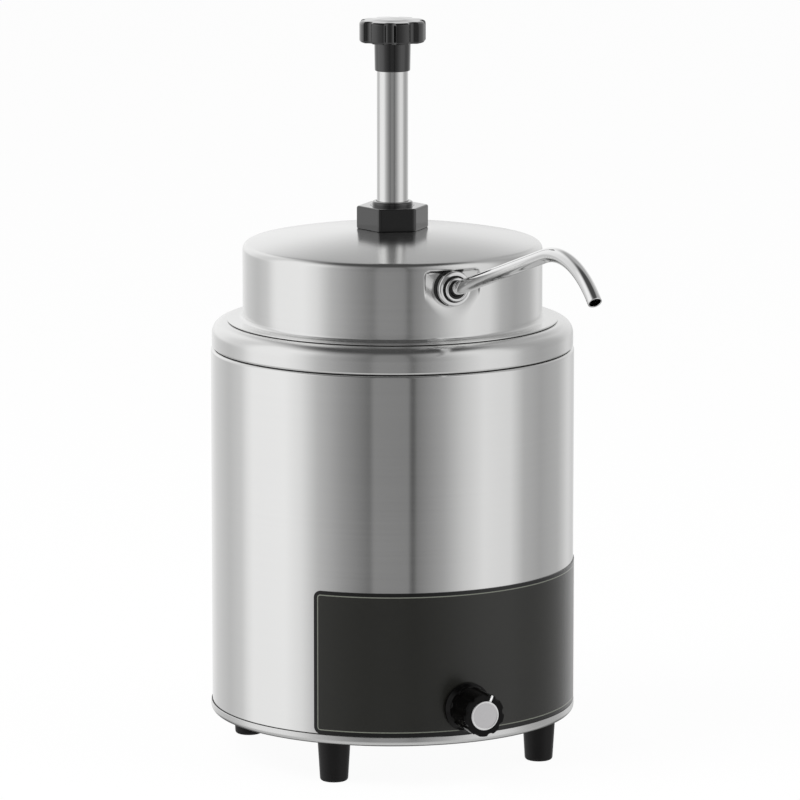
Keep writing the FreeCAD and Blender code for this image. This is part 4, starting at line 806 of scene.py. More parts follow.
CAP_METAL = Metal(
    "turned_cap", (0.78, 0.77, 0.78), 0.30, Grain.TURNED, 0.0,
    lines=5200.0, line_depth=0.000012, mottle=0.20, centre=DIAL_FACE, bright_from=0.0074,
)
GLOSS_BLACK = Moulding("gloss_black", (0.0008, 0.0008, 0.0009), 0.05, 1.58, 0.9, dust=0.01)
COLLAR_BLACK = Moulding("collar_black", (0.0006, 0.0006, 0.0007), 0.06, 1.5, 1.0, dust=0.01)
DIAL_BLACK = Moulding("dial_black", (0.0008, 0.0007, 0.0007), 0.08, 1.22, 0.08, dust=0.01)
GLAND_BLACK = Moulding("gland_black", (0.008, 0.008, 0.008), 0.38)
FOOT_RUBBER = Moulding("foot_rubber", (0.0030, 0.0026, 0.0027), 0.36, 1.33, 0.0, 500.0, 0.00002, 0.06)
SEAL_RUBBER = Moulding("seal_rubber", (0.010, 0.010, 0.010), 0.6)
WHITE_MOULDING = Moulding("white_moulding", (0.80, 0.79, 0.76), 0.42)
SILICONE = Moulding("silicone", (0.66, 0.66, 0.64), 0.5)
LEAD_RED = Moulding("lead_red", (0.55, 0.09, 0.06), 0.5)
WHITE_MARK = Moulding("white_mark", (0.85, 0.85, 0.85), 0.4, dust=0.0)
MAT = Fibre("mineral_mat", (0.72, 0.68, 0.55))
Finish = Metal | Moulding | PrintedFilm | Fibre
_MADE: dict[str, bpy.types.Material] = {}


def dress(thing: bpy.types.Object, finish: Finish) -> bpy.types.Object:
    """Give an object a finish as its only material, building the finish once.

    Args:
        thing: The object.
        finish: Its finish.

    Returns:
        The same object.
    """
    if finish.name not in _MADE:
        _MADE[finish.name] = finish.material()
    thing.data.materials.clear()
    thing.data.materials.append(_MADE[finish.name])
    return thing


def seat(thing: bpy.types.Object, body: str, slot: str, nodes: Iterable[str]) -> None:
    """Ride a piece on its body and hide the CAD nodes that it stands for.

    Args:
        thing: The piece.
        body: The body that it rides on.
        slot: The slot of its finish, which is not used.
        nodes: The CAD nodes that it stands for.
    """
    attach(thing, body)
    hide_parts(*nodes)
    LOG.info("%s: %d faces, on %s", thing.name, len(thing.data.polygons), body)


BODY_AXIS = StraightAxis(Vector((0, 0, 0)), UP, FRONT)


# The body


@dataclass
class Casing:
    """Jacket, label panel, base pan, rim gasket and feet."""

    radius: float = 105.0
    wall: float = 0.8
    low: float = 28.5
    high: float = 237.3
    flange: float = 98.0
    top_bend: float = 1.6
    gasket_inner: float = 97.1
    gasket_outer: float = 103.1
    gasket_high: float = 237.8
    # Size of the dark ring between the jacket and the tray, which is painted shade standing in for the shadow
    # in that gap
    shadow_band_drop: float = 0.15
    shadow_band_rise: float = 0.35
    shadow_band_sink: float = 0.05
    shadow_band_stand: float = 0.4
    pan_radius: float = 105.75
    pan_low: float = 24.0
    pan_high: float = 29.5
    pan_wall: float = 0.7
    pan_corner: float = 4.5
    pan_hem: float = 0.66
    panel_gap: float = 0.05
    panel_wall: float = 0.5
    panel_low: float = 29.9
    panel_height: float = 83.0
    panel_left: float = 48.5
    panel_right: float = 75.0
    panel_corner: float = 4.0
    panel_columns: int = 120
    panel_rows: int = 24
    line_inset: float = 2.4
    line_width: float = 0.55
    foot_circle: float = 91.0
    foot_first: float = 45.0
    foot_height: float = 24.0
    foot_tip: float = 8.0
    foot_top: float = 9.35
    foot_flange: float = 9.75
    foot_flange_wall: float = 1.6
    foot_bore: float = 2.15
    foot_recess: float = 4.6
    foot_recess_height: float = 9.0
    gland_height: float = 45.7
    gland_bore: float = 3.6
    gland_neck: float = 8.0
    gland_tail: float = 14.0
    gland_flange: float = 11.5
    gland_flange_wall: float = 4.0
    gland_cap: float = 7.0
    gland_reach: float = 9.0
    gland_ribs: int = 24
    gland_rib_root: float = 9.0
    gland_rib_low: float = 0.5
    gland_rib_depth: float = 0.35

    def jacket(self) -> None:
        """Build the outer shell with its turned-in top edge."""
        inner = self.radius - self.wall
        outline = rounded([
            (self.radius, self.low, 0.2),
            (self.radius, self.high, self.top_bend),
            (self.flange, self.high, 0.1),
            (self.flange, self.high - self.wall, 0.1),
            (inner, self.high - self.wall, self.top_bend - self.wall),
            (inner, self.low, 0.2),
        ])
        shell = turned("jacket_shell", outline, [BODY_AXIS], even(BODY_SIDES))
        seat(dress(shell, POLISHED), "warmer", "polished_steel", ["outer_jacket"])

    def gasket(self) -> None:
        """Build the thin dark ring under the rim."""
        inner, outer = self.gasket_inner, self.gasket_outer
        low, high = self.high, self.gasket_high
        outline = rounded([(inner, low), (outer, low), (outer, high), (inner, high)])
        band = turned("rim_gasket_band", outline, [BODY_AXIS], even(RING_SIDES))
        seat(dress(band, SEAL_RUBBER), "warmer", "black_rubber", ["rim_gasket"])

    def shadow_band(self) -> None:
        """Build the thin dark ring that paints the shadow in the gap between the jacket and the tray."""
        inner, outer = self.radius - self.shadow_band_sink, self.radius + self.shadow_band_stand
        low, high = self.pan_high - self.shadow_band_drop, self.pan_high + self.shadow_band_rise
        outline = rounded([(inner, low), (outer, low), (outer, high), (inner, high)])
        # A dark rubber ring where the object shows only the shadow in the gap: painted shade
        band = turned("painted_shadow_band", outline, [BODY_AXIS], even(BODY_SIDES))
        seat(dress(band, SEAL_RUBBER), "warmer", "black_rubber", [])

    def pan(self) -> None:
        """Build the shallow base tray with its rolled edge."""
        inner = self.pan_radius - self.pan_wall
        outline = rounded([
            (0, self.pan_low),
            (self.pan_radius, self.pan_low, self.pan_corner),
            (self.pan_radius, self.pan_high, self.pan_hem),
            (inner, self.pan_high, 0.02),
            (inner, self.pan_low + self.pan_wall, self.pan_corner - self.pan_wall),
            (0, self.pan_low + self.pan_wall),
        ], 10)
        tray = turned("base_tray", outline, [BODY_AXIS], even(BODY_SIDES))
        seat(dress(tray, PAN_STEEL), "warmer", "polished_steel", ["base_pan"])

    def panel(self) -> None:
        """Build the label sheet bent round the front, with its map for the printed line."""
        inner = self.radius + self.panel_gap
        outer = inner + self.panel_wall
        first, last = -math.radians(self.panel_left) * outer, math.radians(self.panel_right) * outer
        corner, count, rows = self.panel_corner, self.panel_columns, self.panel_rows
        arc = [corner * (1 - math.cos(math.pi / 2 * step / 10)) for step in range(11)]
        middle = [first + corner + (last - first - 2 * corner) * step / count for step in range(1, count)]
        columns = [*(first + off for off in arc), *middle, *(last - off for off in reversed(arc))]
        low, high = self.panel_low, self.panel_low + self.panel_height
        verts, faces, marks = [], [], []
        for radius in (outer, inner):
            for along in columns:
                off = max(corner - (along - first), corner - (last - along), 0)
                cut = corner - math.sqrt(max(corner * corner - off * off, 0))
                angle = along / outer
                for row in range(rows + 1):
                    height = low + cut + (high - low - 2 * cut) * row / rows
                    spot = (radius * math.sin(angle), -radius * math.cos(angle), height)
                    verts.append(Vector(spot) * MM)
                    marks.append(((along - (first + last) / 2) / 100, (height - (low + high) / 2) / 100))
        line, back = rows + 1, len(columns) * (rows + 1)
        for column in range(len(columns) - 1):
            for row in range(rows):
                a, b = column * line + row, (column + 1) * line + row
                faces.append((a, b, b + 1, a + 1))
                faces.append((back + a, back + a + 1, back + b + 1, back + b))
            for row in (0, rows):
                a, b = column * line + row, (column + 1) * line + row
                faces.append((a, b, back + b, back + a))
        for column in (0, len(columns) - 1):
            for row in range(rows):
                a = column * line + row
                faces.append((a, a + 1, back + a + 1, back + a))
        sheet = new_object("label_panel", verts, faces, marks)
        film = PrintedFilm(
            name="panel_film",
            field=(0.0120, 0.0120, 0.0100),
            border=(0.0020, 0.0020, 0.0020),
            line=(0.17, 0.18, 0.15),
            width=last - first,
            height=self.panel_height,
            corner=corner,
            line_inset=self.line_inset,
            line_width=self.line_width,
        )
        seat(dress(sheet, film), "warmer", "panel_film", ["front_panel"])

    def feet(self) -> None:
        """Build the four rubber feet."""
        flange_low = self.foot_height - self.foot_flange_wall
        outline = rounded([
            (self.foot_recess, 0, 0.4),
            (self.foot_tip, 0, 2.6),
            (self.foot_top, flange_low, 0.3),
            (self.foot_flange, flange_low, 0.3),
            (self.foot_flange, self.foot_height, 0.3),
            (self.foot_bore, self.foot_height, 0.1),
            (self.foot_bore, self.foot_recess_height, 0.1),
            (self.foot_recess, self.foot_recess_height, 0.3),
        ])
        axes = []
        for index in range(4):
            angle = math.radians(self.foot_first + 90 * index)
            spot = Vector((math.cos(angle), math.sin(angle), 0)) * (self.foot_circle * MM)
            axes.append(StraightAxis(spot, UP, FRONT))
        feet = turned("foot_set", outline, axes, even(SLIM_SIDES))
        seat(dress(feet, FOOT_RUBBER), "warmer", "black_rubber", ["rubber_feet"])

    def gland(self) -> None:
        """Build the cord's inlet with its ribbed cap."""
        axis = StraightAxis(Vector((0, self.radius, self.gland_height)) * MM, BACK, UP)
        outline = rounded([
            (self.gland_bore, -self.gland_tail),
            (self.gland_neck, -self.gland_tail, 0.3),
            (self.gland_neck, 0),
            (self.gland_flange, 0, 0.2),
            (self.gland_flange, self.gland_flange_wall, 0.8),
            (self.gland_cap, self.gland_flange_wall, 0.3),
            (self.gland_cap, self.gland_reach, 1.2),
            (self.gland_bore, self.gland_reach, 0.5),
        ])

        def ribs(radius: float, angle: float, height: float) -> float:
            """Cut small grip grooves in the flange's edge.

            Args:
                radius: Radius of the outline there.
                angle: Angle round the axis in radians.
                height: Height along the axis.

            Returns:
                The radius with the grooves cut.
            """
            if radius < self.gland_rib_root or height < self.gland_rib_low:
                return radius
            share = (radius - self.gland_rib_root) / (self.gland_flange - self.gland_rib_root)
            return radius - self.gland_rib_depth * max(0.0, math.cos(angle * self.gland_ribs)) * share

        inlet = turned("cord_inlet", outline, [axis], even(RING_SIDES), ribs)
        seat(dress(inlet, GLAND_BLACK), "warmer", "black_plastic", ["cord_gland"])

    def build(self) -> None:
        """Build every piece of the casing."""
        self.jacket()
        self.gasket()
        self.shadow_band()
        self.pan()
        self.panel()
        self.feet()
        self.gland()


@dataclass
class Well:
    """The spun water vessel with its rolled rim."""

    inner: float = 84.0
    wall: float = 1.0
    floor: float = 90.0
    top: float = 253.0
    rim_radius: float = 104.4
    rim_low: float = 237.8
    shoulder: float = 9.5
    mouth: float = 2.0
    corner: float = 12.0
    hem: float = 97.4

    def build(self) -> None:
        """Build the vessel."""
        wall, hem = self.wall, self.hem
        outline = rounded([
            (0, self.floor),
            (self.inner, self.floor, self.corner),
            (self.inner, self.top, self.mouth),
            (self.rim_radius, self.top, self.shoulder),
            (self.rim_radius, self.rim_low, 1.3),
            (hem, self.rim_low, 0.2),
            (hem, self.rim_low + wall, 0.2),
            (self.rim_radius - wall, self.rim_low + wall, 0.3),
            (self.rim_radius - wall, self.top - wall, self.shoulder - wall),
            (self.inner + wall, self.top - wall, self.mouth - wall),
            (self.inner + wall, self.floor - wall, self.corner + wall),
            (0, self.floor - wall),
        ], 14)
        vessel = turned("water_well", outline, [BODY_AXIS], even(BODY_SIDES))
        seat(dress(vessel, LID_STEEL), "warmer", "polished_steel", ["water_vessel"])


# The lid, its spout and the pump


@dataclass
class Lid:
    """The drawn lid with the pocket pressed into its wall."""

    radius: float = 86.5
    wall: float = 0.9
    crown: float = 307.0
    dome: float = 400.0
    corner: float = 4.4
    lip_radius: float = 95.6
    lip_low: float = 253.0
    lip: float = 1.2
    lip_gap: float = 0.25
    lip_rest: float = 3.0
    lip_step: float = 2.5
    fillet: float = 4.0
    skirt: float = 83.2
    skirt_wall: float = 0.9
    skirt_low: float = 246.0
    land: float = 24.0
    hole: float = 12.55
    hole_guard: float = 0.3
    pocket_half: float = 17.4
    pocket_low: float = 260.6
    pocket_high: float = 294.6
    pocket_face: float = 83.8
    pocket_flat: float = 281.0
    pocket_fade: float = 19.0
    pocket_spread: float = 7.0
    pocket_corner: float = 4.0
    pocket_blend: float = 1.4
    pocket_edge: float = 1.3
    pocket_brow: float = 2.6
    pocket_reach: float = 60.0
    pocket_margin: float = 2.0
    row: float = 0.4
    fine_span: float = 12.6
    fine_steps: int = 126
    coarse_steps: int = 200

    def dome_arc(self, dome: float, low: float, high: float, steps: int) -> list[Point]:
        """Follow the dome from one radius to another.

        Args:
            dome: Radius of the dome's sphere in millimetres.
            low: Where the arc starts.
            high: Where it ends.
            steps: Pieces in it.

        Returns:
            The arc's points.
        """
        centre = self.crown - self.dome
        radii = [low + (high - low) * step / steps for step in range(steps + 1)]
        return [(reach, centre + math.sqrt(dome * dome - reach * reach)) for reach in radii]

    def corner_arc(self, rounding: float, steps: int) -> list[Point]:
        """Follow the rounding between the dome and the wall.

        Args:
            rounding: Radius of the rounding in millimetres.
            steps: Pieces in it.

        Returns:
            The rounding's points, from the dome down.
        """
        middle = self.radius - self.corner
        centre = self.crown - self.dome
        height = centre + math.sqrt((self.dome - self.corner) ** 2 - middle * middle)
        start = math.atan2(height - centre, middle)
        angles = [start * (1 - step / steps) for step in range(steps + 1)]
        return [(middle + rounding * math.cos(a), height + rounding * math.sin(a)) for a in angles]

    def outline(self) -> list[Point]:
        """Outline the lid's sheet.

        Returns:
            Its (radius, height) points in millimetres, from the middle hole out and back.
        """
        lip_top = self.lip_low + self.lip
        inside = self.radius - self.wall
        outer_corner = self.corner_arc(self.corner, 14)
        inner_corner = self.corner_arc(self.corner - self.wall, 8)
        dome_out = self.dome_arc(self.dome, self.land, outer_corner[0][0], 16)
        dome_in = self.dome_arc(self.dome - self.wall, self.land, inner_corner[0][0], 8)
        wall_rows = [outer_corner[-1][1] - self.row * step for step in range(1, 83)]
        wall_rows = [row for row in wall_rows if row > lip_top + self.fillet + self.row / 2]
        rest_edge, step_edge = self.lip_radius - self.lip_rest, self.lip_radius - self.lip_step
        lip_under = self.lip_low + self.lip_gap
        lower = rounded([
            (self.radius, lip_top + self.fillet + 0.6),
            (self.radius, lip_top, self.fillet),
            (self.lip_radius, lip_top, 0.55),
            (self.lip_radius, lip_under, 0.45),
            (step_edge, lip_under, 0.2),
            (rest_edge, self.lip_low, 0.2),
            (self.skirt, self.lip_low, 0.4),
            (self.skirt, self.skirt_low, 0.3),
            (self.skirt - self.skirt_wall, self.skirt_low, 0.3),
            (self.skirt - self.skirt_wall, lip_top, 0.8),
            (inside, lip_top, 0.8),
            (inside, lip_top + self.fillet),
        ], 10, 0.25, False)
        land_top, land_low = dome_out[0][1], dome_in[0][1]
        guard = self.hole + self.hole_guard
        centre_hole = [(self.hole, land_low), (self.hole, land_top), (guard, land_top)]
        inner_rows = [lip_top + self.fillet + step for step in range(1, 34)]
        inner_rows = [row for row in inner_rows if row < inner_corner[-1][1] - self.row / 2]
        return [
            *centre_hole,
            *dome_out,
            *outer_corner[1:],
            *((self.radius, row) for row in wall_rows),
            *lower,
            *((inside, row) for row in inner_rows),
            *reversed(inner_corner[1:]),
            *reversed(dome_in),
        ]

    def pressed(self, x: float, y: float, height: float) -> float:
        """Press one point of the wall into the pocket.

        Args:
            x: The point's place across the pocket in millimetres.
            y: Its place from back to front.
            height: Its height.

        Returns:
            Its new place from back to front.
        """
        middle = (self.pocket_low + self.pocket_high) / 2
        across = abs(x) - (self.pocket_half - self.pocket_corner)
        up = abs(height - middle) - ((self.pocket_high - self.pocket_low) / 2 - self.pocket_corner)
        off = math.hypot(max(across, 0), max(up, 0)) + min(max(across, up), 0) - self.pocket_corner
        soft = self.pocket_brow if up > across and height > middle else self.pocket_edge
        share = min(max(-off / soft, 0), 1)
        share = share * share * (3 - 2 * share)
        flat_to = self.pocket_flat + self.pocket_spread * (x / self.pocket_half) ** 2
        lean = min(max((flat_to - height) / self.pocket_fade, 0), 1)
        fall = self.radius - self.pocket_face + self.pocket_blend
        face = self.pocket_face + fall * lean * lean * (3 - 2 * lean)
        reach = math.hypot(x, y)
        in_wall = reach > self.radius - self.pocket_margin
        target = face - (self.radius - reach) if in_wall else -y + self.pocket_blend
        return -(-y + (soft_least(target, -y, self.pocket_blend) + y) * share)

    def press_pocket(self, lid: bpy.types.Object) -> None:
        """Press the wall round the spout flat, with soft edges.

        Args:
            lid: The turned lid.
        """
        low, high = self.pocket_low - self.pocket_margin, self.pocket_high + self.pocket_margin
        for vert in lid.data.vertices:
            x, y, height = vert.co / MM
            if y <= -self.pocket_reach and low < height < high:
                vert.co.y = self.pressed(x, y, height) * MM

    def build(self) -> None:
        """Build the lid."""
        half, rest = self.fine_span, 360 - 2 * self.fine_span
        fine = [2 * half * step / self.fine_steps - half for step in range(self.fine_steps + 1)]
        coarse = [half + rest * step / self.coarse_steps for step in range(1, self.coarse_steps)]
        angles = [math.radians(angle) for angle in (*fine, *coarse)]
        lid = turned("lid_shell", self.outline(), [BODY_AXIS], angles)
        self.press_pocket(lid)
        lid.data.update()
        seat(dress(lid, LID_STEEL), "pump", "polished_steel", ["pump_lid"])


@dataclass
class Spout:
    """The bulkhead fitting in the pocket and the bent tube out of it."""

    height: float = 283.3
    seat_at: float = 83.8
    gasket: float = 0.8
    cup: float = 1.5
    nut_radius: float = 10.0
    nut_height: float = 4.6
    groove_radius: float = 7.6
    groove_depth: float = 1.4
    seal_drop: float = 0.8
    ring_radius: float = 6.75
    ring_bore: float = 5.2
    ring_height: float = 2.4
    hole: float = 5.65
    tube_radius: float = 3.97
    tube_wall: float = 0.72
    root: float = 5.4
    root_bend: float = 14.0
    rise: float = 16.75
    run: float = 159.9
    bend: float = 65.5
    drop: float = 41.6
    tip: float = 3.7
    start: float = 79.45
    cup_gap: float = 0.05
    cup_wall: float = 0.5
    seal_gap: float = 0.02
    seal_low: float = 0.05
    run_step: float = 6.0
    bend_step: float = 1.2

    def axis(self, off: float) -> StraightAxis:
        """Stand the fitting's axis at a distance out of the pocket's face."""
        return StraightAxis(Vector((0, -(self.seat_at + off), self.height)) * MM, FRONT, UP)

    def route(self) -> BentAxis:
        """Lay out the tube's route.

        Returns:
            The route from the bushing through the fitting to the mouth.
        """
        rise, drop = math.radians(self.rise), math.radians(self.drop)
        root = -(self.seat_at + self.root)
        knee = (root - self.run * math.cos(rise), self.height + self.run * math.sin(rise))
        last = self.bend * math.tan((rise + drop) / 2) + self.tip
        tip = (knee[0] - last * math.cos(drop), knee[1] - last * math.sin(drop))
        corners = ((-self.start, self.height), (root, self.height), knee, tip)
        return BentAxis(corners, (self.root_bend, self.bend))

    def fitting(self) -> None:
        """Build the washer, the ring nut, the ferrule and the seals between them."""
        edge, floor = self.nut_radius + self.cup_gap, self.nut_height - self.groove_depth
        rim, height = edge + self.cup_wall, self.groove_depth + self.ring_height
        cup = rounded([
            (self.hole, 0), (rim, 0, 0.2), (rim, self.cup, 0.2), (edge, self.cup, 0.1),
            (edge, self.gasket), (self.hole, self.gasket),
        ])
        piece = turned("spout_washer", cup, [self.axis(0)], even(SMALL_SIDES))
        seat(dress(piece, SEAL_RUBBER), "pump", "black_rubber", ["spout_gasket"])
        nut = rounded([
            (self.hole, 0), (self.nut_radius, 0, 0.2), (self.nut_radius, self.nut_height, 1.4),
            (self.groove_radius, self.nut_height, 0.5), (self.groove_radius, floor, 0.2), (self.hole, floor),
        ], 10)
        piece = turned("spout_ring", nut, [self.axis(self.gasket)], even(PART_SIDES))
        seat(dress(piece, FITTING_STEEL), "pump", "polished_steel", ["spout_ring_nut"])
        ferrule = rounded([
            (self.ring_bore, 0), (self.ring_radius, 0), (self.ring_radius, height, 0.75),
            (self.ring_bore, height, 0.7),
        ], 10)
        groove = self.axis(self.gasket + floor)
        piece = turned("spout_collar", ferrule, [groove], even(PART_SIDES))
        seat(dress(piece, FITTING_STEEL), "pump", "polished_steel", ["spout_ferrule"])
        for name, within, around, room in (
            ("spout_groove_seal", self.ring_radius, self.groove_radius, self.groove_depth),
            ("spout_bore_seal", self.tube_radius, self.ring_bore, height),
        ):
            inner, outer = within + self.seal_gap, around - self.seal_gap
            low, top = self.seal_low, room - self.seal_drop
            seal = rounded([(inner, low), (outer, low), (outer, top, 0.1), (inner, top, 0.1)])
            piece = turned(name, seal, [groove], even(SMALL_SIDES))
            seat(dress(piece, SEAL_RUBBER), "pump", "black_rubber", [])

    def tube(self) -> None:
        """Build the bent tube with its open mouth."""
        route = self.route()
        marks = route.stations(self.run_step, self.bend_step)
        outline = tube_outline(self.tube_radius - self.tube_wall, self.tube_radius, marks, self.tube_wall / 2)
        piece = turned("spout_pipe", outline, [route], even(SLIM_SIDES))
        seat(dress(piece, SPOUT_STEEL), "pump", "polished_steel", ["spout_tube"])

    def build(self) -> None:
        """Build the fitting and the tube."""
        self.fitting()
        self.tube()


@dataclass
class PumpTop:
    """The hexagonal lock collar on the lid and the ring over its wiper."""

    across: float = 36.5
    low: float = 306.28
    height: float = 13.2
    bore: float = 12.55
    chamfer: float = 1.2
    face_angle: float = -15.2
    corner_cut: float = 0.28
    corner_blend: float = 0.5
    hexagon_wall: float = 4.0
    ring_radius: float = 11.7
    ring_bore: float = 9.3
    ring_height: float = 2.5
    ring_foot: float = 12.4
    ring_sink: float = 0.9

    def collar(self) -> None:
        """Build the collar with rounded corners and bevelled rims."""
        apothem = self.across / 2
        corner = apothem / math.cos(math.radians(30)) - self.corner_cut

        def hexed(radius: float, angle: float, _: float) -> float:
            """Widen a ring of the outline out to the hexagon.

            Args:
                radius: Radius of the outline there.
                angle: Angle round the axis in radians.
                _: Height along the axis, which doesn't count.

            Returns:
                The radius of the hexagon there.
            """
            if radius < apothem - self.hexagon_wall:
                return radius
            off = nearest_turn(angle, 6, math.radians(self.face_angle))
            edge = soft_least(apothem / math.cos(off), corner, self.corner_blend)
            return edge - (apothem - radius)

        corners = [math.radians(self.face_angle + 30 + 60 * index) for index in range(6)]
        offs = [-25, -18, -12, -8, -6, *[-5 + step * 0.5 for step in range(21)], 6, 8, 12, 18, 25, 30]
        angles = sorted((at + math.radians(off)) % (2 * math.pi) for at in corners for off in offs)
        top = self.low + self.height
        outline = rounded([
            (self.bore, self.low), (apothem, self.low, self.chamfer * 0.7), (apothem, top, self.chamfer),
            (self.bore, top, 0.4),
        ])
        piece = turned("lock_hexagon", outline, [BODY_AXIS], angles, hexed)
        seat(dress(piece, COLLAR_BLACK), "pump", "black_plastic", ["lock_collar"])

    def ring(self) -> None:
        """Build the ring on the collar."""
        top = self.low + self.height
        outline = rounded([
            (self.ring_bore, top - self.ring_sink),
            (self.ring_foot, top - self.ring_sink),
            (self.ring_foot, top),
            (self.ring_radius, top),
            (self.ring_radius, top + self.ring_height, 0.9),
            (self.ring_bore, top + self.ring_height, 0.4),
        ])
        piece = turned("wiper_cap", outline, [BODY_AXIS], even(PART_SIDES))
        seat(dress(piece, GLOSS_BLACK), "pump", "black_plastic", ["collar_ring"])

    def build(self) -> None:
        """Build the collar and its ring."""
        self.collar()
        self.ring()


@dataclass
class Plunger:
    """The plunger's tube and its lobed knob."""

    tube_radius: float = 9.0
    tube_wall: float = 1.0
    tube_low: float = 300.98
    hub_low: float = 397.4
    hub_radius: float = 10.5
    hub_height: float = 16.6
    knob_radius: float = 19.15
    knob_height: float = 12.4
    crown: float = 0.7
    crown_rise: float = 0.25
    crown_edge: float = 2.0
    crown_flat: float = 3.0
    socket: float = 11.0
    socket_gap: float = 0.05
    lobes: int = 8
    notch_angle: float = -28.0
    notch_cutter: float = 3.6
    notch_depth: float = 2.6
    knob_sides: int = 320

    def tube(self) -> None:
        """Build the bright tube."""
        top = self.hub_low + self.socket
        inner = self.tube_radius - self.tube_wall
        outer, low = self.tube_radius, self.tube_low
        outline = rounded([(inner, low), (outer, low), (outer, top), (inner, top)])
        piece = turned("plunger_pipe", outline, [BODY_AXIS], even(PART_SIDES))
        seat(dress(piece, TUBE_STEEL), "plunger", "polished_steel", ["plunger_tube"])

    def knob(self) -> None:
        """Build the hub and the lobed head in one moulding."""
        base = self.hub_low + self.hub_height
        top = base + self.knob_height
        bore, roof = self.tube_radius + self.socket_gap, self.hub_low + self.socket

        def lobed(radius: float, angle: float, height: float) -> float:
            """Cut the notches between the lobes out of the head.

            Args:
                radius: Radius of the outline there.
                angle: Angle round the axis in radians.
                height: Height along the axis.

            Returns:
                The radius with the notches cut.
            """
            if radius <= self.hub_radius or height < base - SAME:
                return radius
            off = nearest_turn(angle, self.lobes, math.radians(self.notch_angle))
            edge = notched(self.knob_radius, self.notch_cutter, self.notch_depth, off)
            share = (edge - self.hub_radius) / (self.knob_radius - self.hub_radius)
            return self.hub_radius + (radius - self.hub_radius) * share

        outline = rounded([
            (0, roof),
            (bore, roof, 0.3),
            (bore, self.hub_low, 0.3),
            (self.hub_radius - 0.3, self.hub_low, 2.0),
            (self.hub_radius, base, 0.5),
            (self.knob_radius, base, 1.5),
            (self.knob_radius, top, 2.0),
            (self.hub_radius + self.crown_edge, top + self.crown_rise, 8.0),
            (self.hub_radius - self.crown_flat, top + self.crown, 8.0),
            (0, top + self.crown),
        ], 9)
        piece = turned("plunger_grip", outline, [BODY_AXIS], even(self.knob_sides), lobed)
        seat(dress(piece, GLOSS_BLACK), "plunger", "black_plastic", ["plunger_knob"])

    def build(self) -> None:
        """Build the tube and the knob."""
        self.tube()
        self.knob()


# The dial and the return spring


